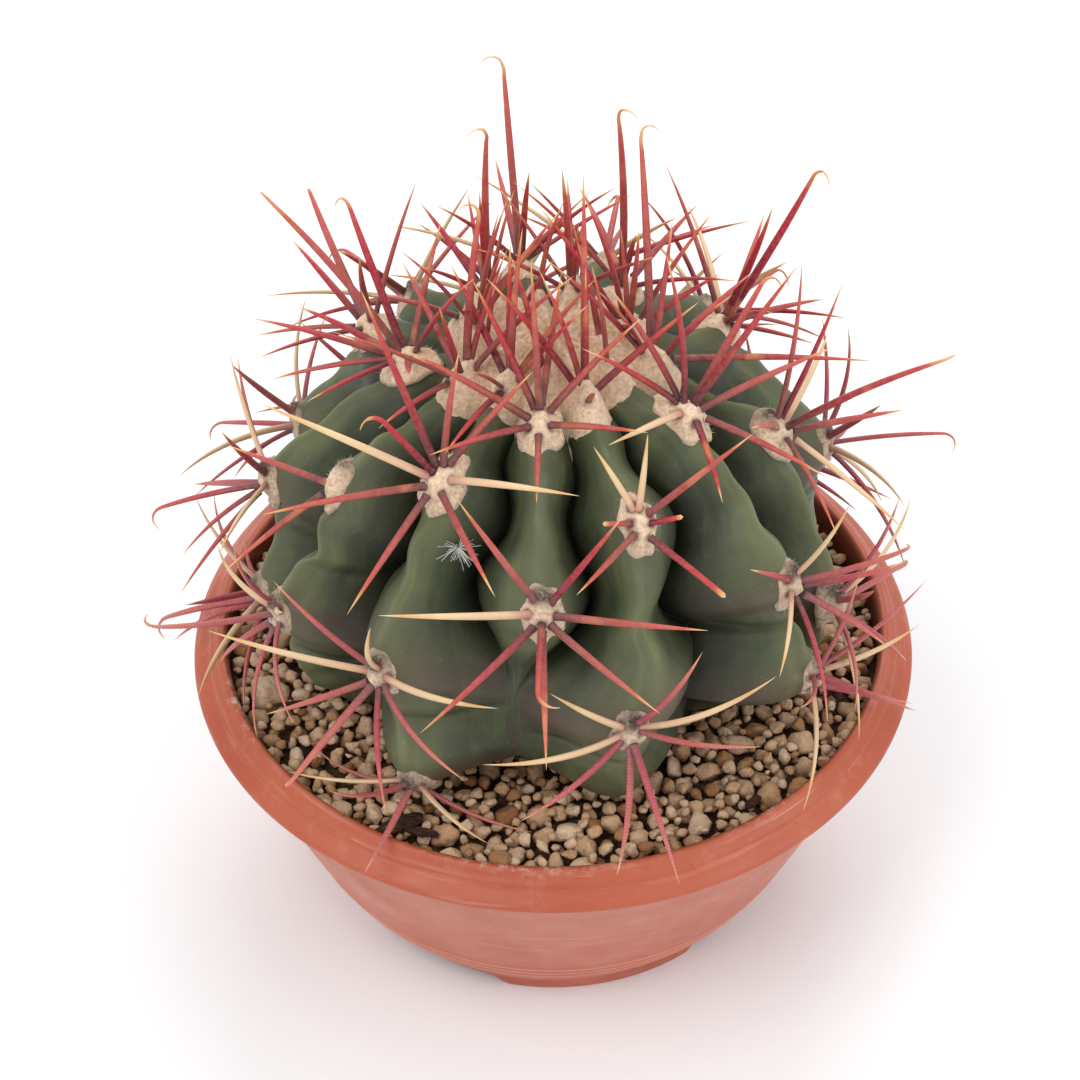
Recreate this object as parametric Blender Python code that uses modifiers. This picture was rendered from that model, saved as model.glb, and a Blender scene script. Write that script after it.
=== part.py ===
"""A ribbed barrel cactus with hooked red spines, growing in a shallow plastic bowl under a
top-dressing of pumice gravel.

Metres, +Z up. The origin lies on the table, on the axis of the bowl. Azimuths are measured
from -Y, the front, and grow towards +X. A place on the plant is given by its rib and by s,
the length of the way from the top of the plant down over the crest of the rib.
"""

import math

import bmesh
import bpy
import numpy as np
from mathutils import Vector
from mathutils.bvhtree import BVHTree
from mathutils.geometry import delaunay_2d_cdt
from mathutils.kdtree import KDTree

COLLECTION_NAME = "potted_barrel_cactus"
SEED = 7
GAP = 0.0003

# The bowl
RIM_RADIUS = 0.1353
RIM_TOP_RADIUS = 0.1234
BOWL_HEIGHT = 0.116
WALL = 0.003
WALL_TOP_RADIUS = 0.1270
WALL_TOP_Z = 0.1030
FOOT_RADIUS = 0.0875
FOOT_HEIGHT = 0.0055
FOOT_RING_WIDTH = 0.0045
FLOOR_TOP_Z = 0.0085
WALL_BELLY = 0.73
TURNED_STEPS = 36
FOOT_COUNT = 4
FOOT_GAP_LENGTH = 0.050
FOOT_GAP_SLOPE = 0.007
FIRST_FOOT_AZIMUTH = math.radians(11.5)
DRAIN_HOLES = 6
DRAIN_HOLE_RADIUS = 0.005
DRAIN_CIRCLE_RADIUS = 0.058

# The growing mix and the gravel on it
SOIL_TOP_Z = 0.098
HOLE_CLEARANCE = 0.0009
WALL_LEVELS = (SOIL_TOP_Z, 0.060, 0.030)
GRAVEL_BED_TOP_Z = 0.1015
GRAVEL_SURFACE_Z = 0.1075
STONE_SPACING = 0.0117
STONE_THROWS = 6000
STONE_TOP_SHARE = 0.34
STONE_TOP_SPREAD = 0.003
STONE_TILT = 0.0009
GRAVEL_INNER_SHARE = 0.1

# The stem
RIBS = 13
RIB_STEP = 2 * math.pi / RIBS
FIRST_RIB_AZIMUTH = math.radians(-6)
STEM_RADIUS = 0.105
WAIST_Z = 0.140
CROWN_RISE = 0.107
CROWN_SQUARENESS = 2.35
BASE_DROP = 0.046
BASE_SQUARENESS = 2.1
BASE_END_ANGLE = 1.32
ROOT = ((0.030, 0.088), (0.024, 0.076), (0.017, 0.062), (0.012, 0.052))
FURROW_SHARE = 0.30
TUBERCLE_SWELL = 0.0034
CHIN_DEPTH = 0.0036
WIDTH_SWING = 0.30
CREST_BLUNTNESS = 0.12
AREOLE_BLUNTNESS = 0.16
BLUNT_RIBS = {0: 0.50, 1: 0.20}
FADING_RIB = 0
FADE_START = 0.112
FADE_END = 0.148
FADE_WIDTH = 0.95
FADE_FILL = 0.50
STEM_ROWS = 23
FLANK_SHARES = (-0.62, -0.26, 0.0, 0.26, 0.62, 1.0)

# The areoles, numbered by age: number 0 is the front one below the crown
TURN_RIBS = 5
RIB_INTERVAL = 13
FIRST_AREOLE_S = 0.040
AREOLE_STEP_S = 0.005
CROWN_CROWDING = 0.05
YOUNGEST = -8
OLDEST = 31
MISSING_AREOLE = 26
SEAT_CLEARANCE = 0.0005
PAD_HALF_WIDTH = 0.0074
PAD_HALF_LENGTH = 0.0112
PAD_HEIGHT = 0.0036
PAD_SADDLE = 0.0042
PAD_WIDTHS = {8: 0.8, 10: 0.6}
CROWN_PAD_SIZE = 0.86
CROWN_FELT_RADIUS = 0.028
CROWN_FELT_Z = 0.2462
CROWN_FELT_HEIGHT = 0.0062
SPINE_SEAT_WIDTH = 0.0040
SPINE_SEAT_LENGTH = 0.0064
SPINE_SEAT_HEIGHT = 0.0018
SPINE_SEAT_FALL = 0.0014
SPINE_ROOT_RADIUS = 0.0013
SPINE_TAPER = 2.6
SPINE_BEND = math.radians(14)
BEND_START = 0.2
OLD_SPINE_BEND = 1.2
OLD_BEND_START = 0.2
HOOK_ANGLE = math.radians(125)
HOOK_LENGTH = 0.0125
MOST_OF_A_HOOK = 0.34
SPINE_POINTS = 23
CLEARANCE = 0.0008
SAMPLING_SLACK = 0.0006
PAD_KEEP_OUT = 0.0115
FREE_ROOT_POINTS = 6
GRAVEL_EDGE_RADIUS = 0.1205
OVER_TABLE_RADIUS = 0.1375
FLOOR_OVER_GRAVEL = 0.1088
FLOOR_OVER_RIM = 0.1178
LEVEL_MARGIN = 0.003
RELAX_ROUNDS = 80
RELAX_SHARE = 0.35
MOST_PUSH = 0.9
FLAT_ANGLE = math.radians(1.0)

# How the crests lean round the plant as they go down: rib: ((s, degrees), ...)
CREST_LEANS = {
    0: ((0.045, 0.0), (0.105, 3.5), (0.142, -3.0)),
    1: ((0.080, 0.0), (0.150, -8.0)),
    2: ((0.030, 4.0), (0.055, 8.0), (0.120, 4.0), (0.170, 9.0)),
    3: ((0.090, 0.0), (0.155, -8.0)),
    4: ((0.050, 0.0), (0.070, 10.0), (0.135, 0.0)),
    5: ((0.045, 12.0), (0.110, 9.0), (0.170, 0.0)),
    6: ((0.040, 6.0), (0.100, 5.0), (0.170, 0.0)),
    7: ((0.040, 3.0), (0.170, 0.0)),
    11: ((0.100, 0.0), (0.155, -4.0)),
    12: ((0.060, 0.0), (0.130, -2.0), (0.195, 5.0)),
}

# Areoles that sit lower down their rib than the rule says, or higher, in mm
AREOLE_SHIFTS = {5: 4, 11: -9, 15: 11, 16: 5, 18: 10, 21: 6, 23: -5, 24: -5, 29: -13, 31: -4}

# Fans of spines. Each spine: (clock, lift, length mm, kind). The clock turns clockwise from
# the way up the rib, as seen from outside, and the lift is the angle off the skin. A stub is
# a spine that has broken off.
OLD_FAN = (
    (180, 60, 50, "hook"),
    (176, 28, 44, "red"),
    (130, 26, 50, "red"),
    (-130, 26, 50, "red"),
    (86, 24, 52, "cream"),
    (-86, 24, 52, "red"),
    (40, 26, 46, "red"),
    (-40, 26, 46, "cream"),
)
YOUNG_FAN = (
    (0, 72, 66, "hook"),
    (8, 42, 54, "red"),
    (50, 36, 50, "red"),
    (-48, 38, 50, "red"),
    (100, 28, 46, "red"),
    (-100, 28, 46, "red"),
    (170, 22, 40, "red"),
)
CROWN_FAN = (
    (5, 70, 58, "red"),
    (55, 40, 46, "red"),
    (-60, 40, 46, "red"),
    (165, 24, 34, "red"),
)
FANS = {
    -5: ((14, 61, 75, "red"), (-40, 40, 50, "red"), (80, 35, 46, "red")),
    -3: ((-35, 57, 62, "hook"), (20, 40, 50, "red"), (-90, 35, 44, "red"), (160, 20, 34, "red")),
    -2: ((59, 47, 83, "hook"), (160, 9, 72, "red"), (-10, 40, 52, "red"), (120, 30, 44, "red")),
    -1: ((2, 76, 76, "hook"), (-60, 40, 50, "red"), (60, 40, 50, "red"), (180, 40, 40, "red")),
    0: (
        (-8, 50, 50, "red"),
        (2, 27, 48, "red"),
        (-36, 38, 48, "red"),
        (-82, 20, 48, "red"),
        (52, 22, 44, "red"),
        (-118, 26, 40, "red"),
        (104, 22, 36, "red"),
        (176, 8, 28, "red"),
    ),
    1: (
        (-3, 70, 84, "hook"),
        (-30, 42, 52, "red"),
        (70, 36, 50, "red"),
        (120, 28, 46, "red"),
        (-90, 28, 44, "red"),
        (180, 30, 44, "red"),
    ),
    2: (
        (-154, 80, 82, "hook"),
        (-93, 57, 63, "hook"),
        (-168, 38, 50, "red"),
        (-138, 20, 46, "red"),
        (176, 18, 42, "red"),
        (-60, 30, 46, "red"),
        (20, 40, 54, "red"),
        (75, 30, 46, "red"),
        (140, 22, 36, "red"),
    ),
    3: (
        (-2, 62, 60, "red"),
        (78, 43, 57, "hook"),
        (88, 62, 60, "red"),
        (120, 36, 50, "red"),
        (-6, 34, 48, "red"),
        (-32, 24, 42, "red"),
        (-75, 10, 38, "cream"),
        (-134, 12, 36, "red"),
        (172, 14, 46, "red"),
    ),
    4: (
        (4, 82, 80, "hook"),
        (0, 45, 54, "red"),
        (45, 36, 50, "red"),
        (-45, 36, 50, "red"),
        (90, 28, 46, "cream"),
        (-90, 28, 46, "red"),
        (180, 45, 48, "red"),
    ),
    5: (
        (0, 42, 42, "red"),
        (-43, 38, 64, "red"),
        (-68, 56, 37, "hook"),
        (-95, 34, 62, "cream"),
        (22, 12, 42, "red"),
        (-130, 24, 55, "red"),
        (76, 10, 48, "cream"),
        (-176, 8, 48, "red"),
        (124, 8, 44, "red"),
    ),
    6: (
        (-28, 86, 72, "hook"),
        (-31, 65, 58, "red"),
        (27, 42, 60, "red"),
        (120, 38, 50, "red"),
        (-62, 34, 48, "red"),
        (84, 30, 48, "cream"),
        (-90, 28, 44, "red"),
        (170, 26, 42, "red"),
    ),
    7: (
        (-117, 55, 65, "hook"),
        (-140, 40, 54, "red"),
        (-40, 40, 52, "red"),
        (166, 26, 40, "red"),
        (30, 40, 50, "red"),
        (100, 28, 46, "red"),
    ),
    8: (
        (10, 45, 30, "cream"),
        (67, 34, 45, "red"),
        (-26, 30, 28, "cream"),
        (-114, 12, 30, "red"),
        (-80, 30, 14, "stub"),
        (96, 28, 12, "stub"),
        (148, 18, 34, "stub"),
    ),
    10: ((-112, 36, 38, "red"), (-178, 24, 42, "red")),
    11: (
        (173, 86, 72, "hook"),
        (140, 36, 44, "red"),
        (-162, 20, 50, "cream"),
        (-118, 18, 44, "red"),
        (8, 50, 64, "red"),
        (40, 58, 54, "red"),
        (-56, 25, 40, "red"),
        (90, 22, 44, "cream"),
    ),
    13: (
        (180, 66, 45, "hook"),
        (176, 38, 48, "red"),
        (-131, 30, 52, "red"),
        (123, 30, 48, "red"),
        (-85, 30, 54, "cream"),
        (89, 24, 54, "red"),
        (-34, 26, 48, "red"),
        (45, 22, 42, "red"),
    ),
    16: (
        (72, 64, 46, "hook"),
        (-100, 26, 40, "cream"),
        (-134, 34, 46, "red"),
        (-48, 12, 34, "red"),
        (10, 44, 42, "cream"),
        (150, 24, 42, "red"),
        (110, 26, 44, "red"),
    ),
    18: (
        (-165, 57, 51, "hook"),
        (-32, 32, 51, "red"),
        (16, 34, 38, "cream"),
        (-74, 36, 56, "cream"),
        (73, 10, 52, "cream"),
        (-124, 24, 40, "red"),
        (134, 40, 44, "red"),
        (106, 18, 46, "red"),
    ),
    19: (
        (-119, 76, 52, "hook"),
        (-130, 14, 52, "red"),
        (-88, 20, 46, "cream"),
        (56, 22, 44, "red"),
        (8, 26, 44, "red"),
        (128, 22, 44, "red"),
        (-40, 22, 44, "red"),
        (176, 24, 42, "cream"),
    ),
    21: (
        (172, 58, 50, "red"),
        (-104, 27, 46, "red"),
        (-86, 10, 50, "cream"),
        (-48, 6, 34, "cream"),
        (26, 22, 45, "red"),
        (50, 30, 58, "cream"),
        (68, 46, 48, "red"),
        (-160, 40, 44, "red"),
    ),
    23: (
        (-4, 86, 53, "hook"),
        (168, 8, 42, "red"),
        (-92, 12, 42, "cream"),
        (-150, 24, 38, "red"),
        (0, 30, 36, "red"),
        (48, 16, 36, "cream"),
        (110, 16, 40, "red"),
    ),
    24: (
        (97, 30, 43, "hook"),
        (-40, 30, 42, "red"),
        (20, 26, 44, "red"),
        (66, 24, 46, "cream"),
        (-92, 20, 46, "red"),
        (160, 24, 42, "red"),
        (-140, 22, 44, "cream"),
    ),
    29: (
        (-38, 62, 50, "red"),
        (50, 30, 48, "red"),
        (-122, 24, 48, "cream"),
        (156, 30, 38, "red"),
        (14, 18, 44, "red"),
        (92, 28, 46, "cream"),
        (-62, 18, 36, "red"),
    ),
    31: (
        (15, 57, 43, "red"),
        (62, 12, 44, "cream"),
        (-16, 18, 40, "red"),
        (-80, 26, 42, "cream"),
        (-128, 30, 42, "red"),
        (128, 26, 42, "red"),
    ),
}


def smooth(value, low, high):
    share = np.clip((value - low) / (high - low), 0.0, 1.0)
    return share * share * (3 - 2 * share)


def crest_outline():
    """Radius, height and length from the top of a plain rib's crest, top to root."""
    top = np.linspace(0.0, math.pi / 2, 160)
    base = np.linspace(0.0, BASE_END_ANGLE, 120)[1:]
    root = np.array(ROOT)
    radius = np.concatenate(
        (
            STEM_RADIUS * np.sin(top) ** (2 / CROWN_SQUARENESS),
            STEM_RADIUS * np.cos(base) ** (2 / BASE_SQUARENESS),
            root[:, 0],
        )
    )
    height = np.concatenate(
        (
            WAIST_Z + CROWN_RISE * np.maximum(np.cos(top), 0.0) ** (2 / CROWN_SQUARENESS),
            WAIST_Z - BASE_DROP * np.sin(base) ** (2 / BASE_SQUARENESS),
            root[:, 1],
        )
    )
    steps = np.hypot(np.diff(radius), np.diff(height))
    return radius, height, np.concatenate(([0.0], np.cumsum(steps)))


CREST_R, CREST_Z, CREST_S = crest_outline()
STEM_END_S = float(CREST_S[-1])


def crest(s):
    return np.interp(s, CREST_S, CREST_R), np.interp(s, CREST_S, CREST_Z)


def crest_normal(s, reach=0.002):
    """The outline's outward normal, as its radial and its vertical share."""
    above = crest(s - reach)
    below = crest(s + reach)
    run, fall = below[0] - above[0], below[1] - above[1]
    length = np.hypot(run, fall)
    return -fall / length, run / length


def areole_s(number):
    """How far down its rib the areole of this age lies."""
    if number >= 0:
        return FIRST_AREOLE_S + AREOLE_STEP_S * number + AREOLE_SHIFTS.get(number, 0) / 1000
    return FIRST_AREOLE_S * math.exp(CROWN_CROWDING * number)


def areole_rib(number):
    return TURN_RIBS * number % RIBS


def rib_phase(rib, s):
    """0 at each areole of the rib, growing to 1 at the next one below."""
    first = next(n for n in range(RIB_INTERVAL) if areole_rib(n) == rib)
    turns = range(-3, 5)
    places = [areole_s(first + RIB_INTERVAL * turn) for turn in turns]
    return np.interp(s, places, turns) % 1.0


def rib_azimuth(rib, s):
    leans = CREST_LEANS.get(rib, ((0.0, 0.0),))
    lean = np.interp(s, [at for at, _ in leans], [turn for _, turn in leans])
    return FIRST_RIB_AZIMUTH + rib * RIB_STEP + np.radians(lean)


def rib_weight(rib, s):
    """How wide a rib is beside its neighbours: widest at its areoles."""
    swing = WIDTH_SWING * smooth(s, 0.02, 0.06) * (1 - smooth(s, 0.20, 0.225))
    weight = 1 + swing * np.cos(2 * math.pi * (rib_phase(rib, s) + 0.04))
    if rib == FADING_RIB:
        weight = weight * (1 - FADE_WIDTH * smooth(s, FADE_START, FADE_END))
    return weight


def crest_relief(rib, s):
    """How far the crest stands out of the plain outline: a swelling that carries each areole,
    and the chin below it."""
    phase = rib_phase(rib, s)
    scale = smooth(s, 0.015, 0.07) * (1 - smooth(s, 0.205, 0.225))
    if rib == FADING_RIB:
        scale = scale * (1 - smooth(s, FADE_START, FADE_END))
    swell = TUBERCLE_SWELL * np.cos(2 * math.pi * (phase + 0.05))
    chin = CHIN_DEPTH * np.exp(-(((phase - 0.17) / 0.085) ** 2))
    return scale * (swell - chin)


def flank_azimuth(rib, s, share):
    """Azimuth of the line that runs down a flank: share is 0 on the crest, 1 or -1 in a furrow."""
    other = (rib + (1 if share > 0 else -1)) % RIBS
    here = rib_azimuth(rib, s)
    there = rib_azimuth(other, s)
    way = (there - here + math.pi) % (2 * math.pi) - math.pi
    own = rib_weight(rib, s)
    part = own / (own + rib_weight(other, s))
    return here + way * part * abs(share)


def flank_depth(rib, s, share):
    """How deep a flank lies below the plain outline: 0 on a crest, up to 1 in a furrow. One rib
    sinks to its furrows' depth as it fades, and the furrows beside it fill up."""
    blunt = CREST_BLUNTNESS + BLUNT_RIBS.get(rib, 0.0)
    blunt = blunt + AREOLE_BLUNTNESS * np.cos(math.pi * rib_phase(rib, s)) ** 2
    depth = (np.sqrt(share * share + blunt * blunt) - blunt) / (np.sqrt(1 + blunt * blunt) - blunt)
    fade = smooth(s, FADE_START, FADE_END)
    if rib == FADING_RIB:
        return (depth + (1 - depth) * fade) * (1 - FADE_FILL * fade)
    if rib == (FADING_RIB + 1) % RIBS:
        return depth * (1 - FADE_FILL * fade * max(-share, 0.0))
    if rib == (FADING_RIB - 1) % RIBS:
        return depth * (1 - FADE_FILL * fade * max(share, 0.0))
    return depth


def stem_point(rib, s, share, swell=0.0):
    """A point of the skin. swell moves it out, along the outline's normal."""
    radius, height = crest(s)
    out, up = crest_normal(s)
    buried = 1 - smooth(s, 0.215, 0.245)
    furrow = FURROW_SHARE * radius * buried * flank_depth(rib, s, share)
    relief = crest_relief(rib, s) * (1 - share * share) ** 2
    offset = relief - furrow + swell
    azimuth = flank_azimuth(rib, s, share)
    reach = np.maximum(radius + offset * out, 0.0)
    return np.array((reach * np.sin(azimuth), -reach * np.cos(azimuth), height + offset * up))


def furrow_point(rib, s, swell=0.0):
    """The furrow after a rib, as the mean of what its two flanks say."""
    own = stem_point(rib, s, 1.0, swell)
    other = stem_point((rib + 1) % RIBS, s, -1.0, swell)
    return (own + other) / 2


def stem_rows():
    """Lengths down the crest at which the stem has a ring of points."""
    top = [0.006, 0.016, 0.026]
    body = np.linspace(0.036, 0.236, STEM_ROWS - len(top) - 4)
    root = np.linspace(0.246, STEM_END_S, 4)
    return top + list(body) + list(root)


def stem_object(name, swell=0.0):
    """The ribbed stem and its root, lofted through rings of points."""
    rows = stem_rows()
    form = bmesh.new()
    rings = []
    for s in rows:
        ring = []
        for rib in range(RIBS):
            for share in FLANK_SHARES:
                at = furrow_point(rib, s, swell) if share == 1.0 else stem_point(rib, s, share, swell)
                ring.append(form.verts.new(at))
        rings.append(ring)
    apex = form.verts.new((0.0, 0.0, CREST_Z[0] + swell))
    tip = form.verts.new((0.0, 0.0, CREST_Z[-1] - 0.004 - swell))
    count = len(rings[0])
    for index in range(count):
        after = (index + 1) % count
        form.faces.new((apex, rings[0][index], rings[0][after]))
        form.faces.new((tip, rings[-1][after], rings[-1][index]))
        for above, below in zip(rings, rings[1:]):
            form.faces.new((above[index], below[index], below[after], above[after]))
    return object_of(name, form)


class Areole:
    """The seat of one fan of spines: where it lies and which ways are out, down and across."""

    def __init__(self, number):
        self.number = number
        self.rib = areole_rib(number)
        self.s = areole_s(number)
        azimuth = float(rib_azimuth(self.rib, self.s))
        out, up = crest_normal(self.s)
        outward = np.array((math.sin(azimuth), -math.cos(azimuth), 0.0))
        upward = np.array((0.0, 0.0, 1.0))
        self.place = stem_point(self.rib, self.s, 0.0)
        self.normal = outward * out + upward * up
        self.down = outward * up - upward * out
        self.across = np.cross(-self.down, self.normal)

    def direction(self, clock, lift):
        flat = self.across * math.sin(clock) - self.down * math.cos(clock)
        return flat * math.cos(lift) + self.normal * math.sin(lift)


def levelled(root, way, length):
    """The way of a low spine, turned up until its tip lies over the gravel or the rim."""
    tip = root + way * length
    reach = math.hypot(tip[0], tip[1])
    floor = FLOOR_OVER_GRAVEL if reach < GRAVEL_EDGE_RADIUS - LEVEL_MARGIN else FLOOR_OVER_RIM
    climb = (floor + LEVEL_MARGIN - root[2]) / length
    if way[2] >= climb or reach > OVER_TABLE_RADIUS + 4 * LEVEL_MARGIN:
        return way
    flat = math.hypot(way[0], way[1])
    share = math.sqrt(1 - climb * climb) / flat
    return np.array((way[0] * share, way[1] * share, climb))


class Spine:
    """One spine: a bent, tapering thorn that may end in a hook."""

    def __init__(self, group, areole, clock, lift, length, kind, random):
        self.group = group
        self.kind = kind
        self.length = length
        self.radius = SPINE_ROOT_RADIUS * (0.72 + 0.28 * min(length / 0.05, 1.2))
        flat = areole.direction(clock, 0.0)
        aside = math.sin(clock) * math.cos(lift)
        seat = areole.across * aside * SPINE_SEAT_WIDTH * PAD_WIDTHS.get(areole.number, 1.0)
        seat = seat - areole.down * math.cos(clock) * math.cos(lift) * SPINE_SEAT_LENGTH
        rise = SPINE_SEAT_HEIGHT - SPINE_SEAT_FALL * aside * aside
        self.root = areole.place + seat + areole.normal * rise
        self.way = levelled(self.root, areole.direction(clock, lift), length)
        self.bend_to = -areole.normal * math.cos(lift) + flat * math.sin(lift)
        old = smooth(areole.number, 10, 18) if kind != "hook" else 0.0
        self.bend = SPINE_BEND * (0.4 + random.random()) * (1 + OLD_SPINE_BEND * old)
        self.bend_start = BEND_START + OLD_BEND_START * old
        self.hook_start = 1 - min(MOST_OF_A_HOOK, HOOK_LENGTH / length)
        side = 1 if math.sin(clock) >= 0 else -1
        self.hook_to = areole.across * side * 0.8 + areole.down * (0.3 if lift > 1.0 else 1.0)
        if kind != "hook":
            self.hook_to = self.bend_to


def unit(rows):
    return rows / (np.linalg.norm(rows, axis=-1, keepdims=True) + 1e-12)


def square_to(rows, ways):
    return unit(rows - ways * np.sum(rows * ways, axis=-1, keepdims=True))


def spine_lines(spines, pushes):
    """Points along the middle of each spine, from root to tip."""
    ways = unit(np.array([spine.way for spine in spines]) + pushes)[:, None]
    bend_to = square_to(np.array([spine.bend_to for spine in spines])[:, None], ways)
    hook_to = square_to(np.array([spine.hook_to for spine in spines])[:, None], ways)
    bends = np.array([spine.bend for spine in spines])[:, None]
    starts = np.array([spine.bend_start for spine in spines])[:, None]
    hooks = np.array([HOOK_ANGLE if spine.kind == "hook" else 0.0 for spine in spines])[:, None]
    hook_starts = np.array([spine.hook_start for spine in spines])[:, None]
    lengths = np.array([spine.length for spine in spines])[:, None, None]
    roots = np.array([spine.root for spine in spines])[:, None]
    share = ((np.arange(SPINE_POINTS - 1) + 0.5) / (SPINE_POINTS - 1))[None]
    bend = bends * (share - starts)
    curl = hooks * smooth(share, hook_starts, 1.0)
    steps = np.cos(bend + curl)[..., None] * ways
    steps = steps + np.sin(bend)[..., None] * bend_to + np.sin(curl)[..., None] * hook_to
    run = np.cumsum(unit(steps) * lengths / (SPINE_POINTS - 1), axis=1)
    return np.concatenate((roots, roots + run), axis=1)


def spine_radii(radius):
    share = np.arange(SPINE_POINTS) / (SPINE_POINTS - 1)
    return radius * (1 - share**SPINE_TAPER)


def fan_of(number, random):
    fan = FANS.get(number)
    if fan:
        return [(math.radians(c), math.radians(l), mm / 1000, kind) for c, l, mm, kind in fan]
    spines = []
    rule = CROWN_FAN if number < 0 else YOUNG_FAN if number < 9 else OLD_FAN
    for clock, lift, length, kind in rule:
        clock += random.uniform(-9, 9)
        lift += random.uniform(-6, 6)
        length *= random.uniform(0.88, 1.08)
        spines.append((math.radians(clock), math.radians(lift), length / 1000, kind))
    return spines


def all_areoles():
    numbers = [n for n in range(YOUNGEST, OLDEST + 1) if n != MISSING_AREOLE]
    return [Areole(number) for number in numbers]


def all_spines(areoles):
    """Every spine, with the ones above the first areole in one group, the crown's."""
    random = np.random.RandomState(SEED)
    spines = []
    for areole in areoles:
        group = max(areole.number, -1)
        for clock, lift, length, kind in fan_of(areole.number, random):
            spines.append(Spine(group, areole, clock, lift, length, kind, random))
    for number in range(YOUNGEST - 1, YOUNGEST - 8, -1):
        bud = Areole(number)
        clock = math.radians(random.uniform(-60, 60))
        lift = math.radians(random.uniform(62, 84))
        length = random.uniform(0.024, 0.050)
        spines.append(Spine(-1, bud, clock, lift, length, "red", random))
    return spines


def push_from(pushes, spines, number, index, shift):
    """Turns a spine so that its point at this index moves by about this much."""
    reach = spines[number].length * max(index / (SPINE_POINTS - 1), 0.25)
    pushes[number] += shift / reach


def part_spines(spines, lines, pushes):
    """Turns spines of different fans away from each other. Returns how many places touched."""
    points = lines.reshape(-1, 3)
    tree = KDTree(len(points))
    for index, point in enumerate(points):
        tree.insert(point, index)
    tree.balance()
    radii = np.concatenate([spine_radii(spine.radius) for spine in spines])
    groups = [spine.group for spine in spines]
    margin = CLEARANCE + SAMPLING_SLACK
    touching = 0
    for here, point in enumerate(points):
        number, index = divmod(here, SPINE_POINTS)
        if index == 0:
            continue
        for _, there, distance in tree.find_range(point, radii[here] + SPINE_ROOT_RADIUS + margin):
            other, at = divmod(there, SPINE_POINTS)
            wanted = radii[here] + radii[there] + margin
            if other <= number or groups[other] == groups[number] or at == 0 or distance >= wanted:
                continue
            touching += 1
            way = unit(point - points[there] + 1e-7) * (wanted - distance) * RELAX_SHARE
            push_from(pushes, spines, number, index, way)
            push_from(pushes, spines, other, at, -way)
    return touching


def lift_spines(spines, lines, pushes, areoles, skin):
    """Turns spines off the skin, the gravel, the rim and other fans' pads."""
    seats = np.array([areole.place for areole in areoles])
    seat_groups = np.array([max(areole.number, -1) for areole in areoles])
    touching = 0
    for number, spine in enumerate(spines):
        radii = spine_radii(spine.radius)
        line = lines[number]
        across = np.hypot(line[:, 0], line[:, 1])
        floor = np.where(across < GRAVEL_EDGE_RADIUS, FLOOR_OVER_GRAVEL, FLOOR_OVER_RIM)
        floor = np.where(across > OVER_TABLE_RADIUS, 0.0, floor) + radii
        shifts = np.zeros((SPINE_POINTS, 3))
        shifts[:, 2] = np.maximum(floor - line[:, 2], 0.0)
        ways = line[:, None] - seats[None, seat_groups != spine.group]
        distances = np.linalg.norm(ways, axis=2)
        near = np.maximum(PAD_KEEP_OUT - distances, 0.0)
        shifts += np.sum(unit(ways) * near[..., None], axis=1)
        for index in range(FREE_ROOT_POINTS, SPINE_POINTS):
            nearest, normal, _, distance = skin.find_nearest(Vector(line[index]), 0.02)
            if nearest is None:
                continue
            away = np.array(normal)
            depth = np.dot(line[index] - np.array(nearest), away) - radii[index] - CLEARANCE
            if depth < 0:
                shifts[index] -= away * depth
        for index in range(FREE_ROOT_POINTS, SPINE_POINTS):
            if shifts[index].any():
                touching += 1
                push_from(pushes, spines, number, index, shifts[index] * RELAX_SHARE)
    return touching


def relaxed_lines(spines, areoles, skin):
    """The spines' lines once each has turned clear of what it would touch."""
    pushes = np.zeros((len(spines), 3))
    for _ in range(RELAX_ROUNDS):
        lines = spine_lines(spines, pushes)
        touching = part_spines(spines, lines, pushes)
        touching += lift_spines(spines, lines, pushes, areoles, skin)
        size = np.linalg.norm(pushes, axis=1, keepdims=True)
        pushes *= np.minimum(1.0, MOST_PUSH / np.maximum(size, 1e-9))
        if not touching:
            break
    return spine_lines(spines, pushes)


def object_of(name, form):
    """A mesh object from a form made of triangles facing out."""
    bmesh.ops.triangulate(form, faces=form.faces[:])
    bmesh.ops.recalc_face_normals(form, faces=form.faces[:])
    mesh = bpy.data.meshes.new(name)
    form.to_mesh(mesh)
    form.free()
    return bpy.data.objects.new(name, mesh)


def thorn_object(name, line, radii, sides, rings):
    """A thorn as rings of a few points round its line, ending in a point."""
    form = bmesh.new()
    loops = []
    for index in rings:
        before, after = line[max(index - 1, 0)], line[min(index + 1, len(line) - 1)]
        way = (after - before) / np.linalg.norm(after - before)
        hint = np.array((0.0, 0.0, 1.0)) if abs(way[2]) < 0.9 else np.array((1.0, 0.0, 0.0))
        one = np.cross(way, hint)
        one = one / np.linalg.norm(one)
        two = np.cross(way, one)
        turns = [2 * math.pi * side / sides for side in range(sides)]
        loops.append(
            [
                form.verts.new(line[index] + (one * math.cos(t) + two * math.sin(t)) * radii[index])
                for t in turns
            ]
        )
    tip = form.verts.new(line[-1])
    form.faces.new(loops[0])
    for low, high in zip(loops, loops[1:]):
        for side in range(sides):
            after = (side + 1) % sides
            form.faces.new((low[side], low[after], high[after], high[side]))
    for side in range(sides):
        form.faces.new((loops[-1][side], loops[-1][(side + 1) % sides], tip))
    return object_of(name, form)


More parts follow.
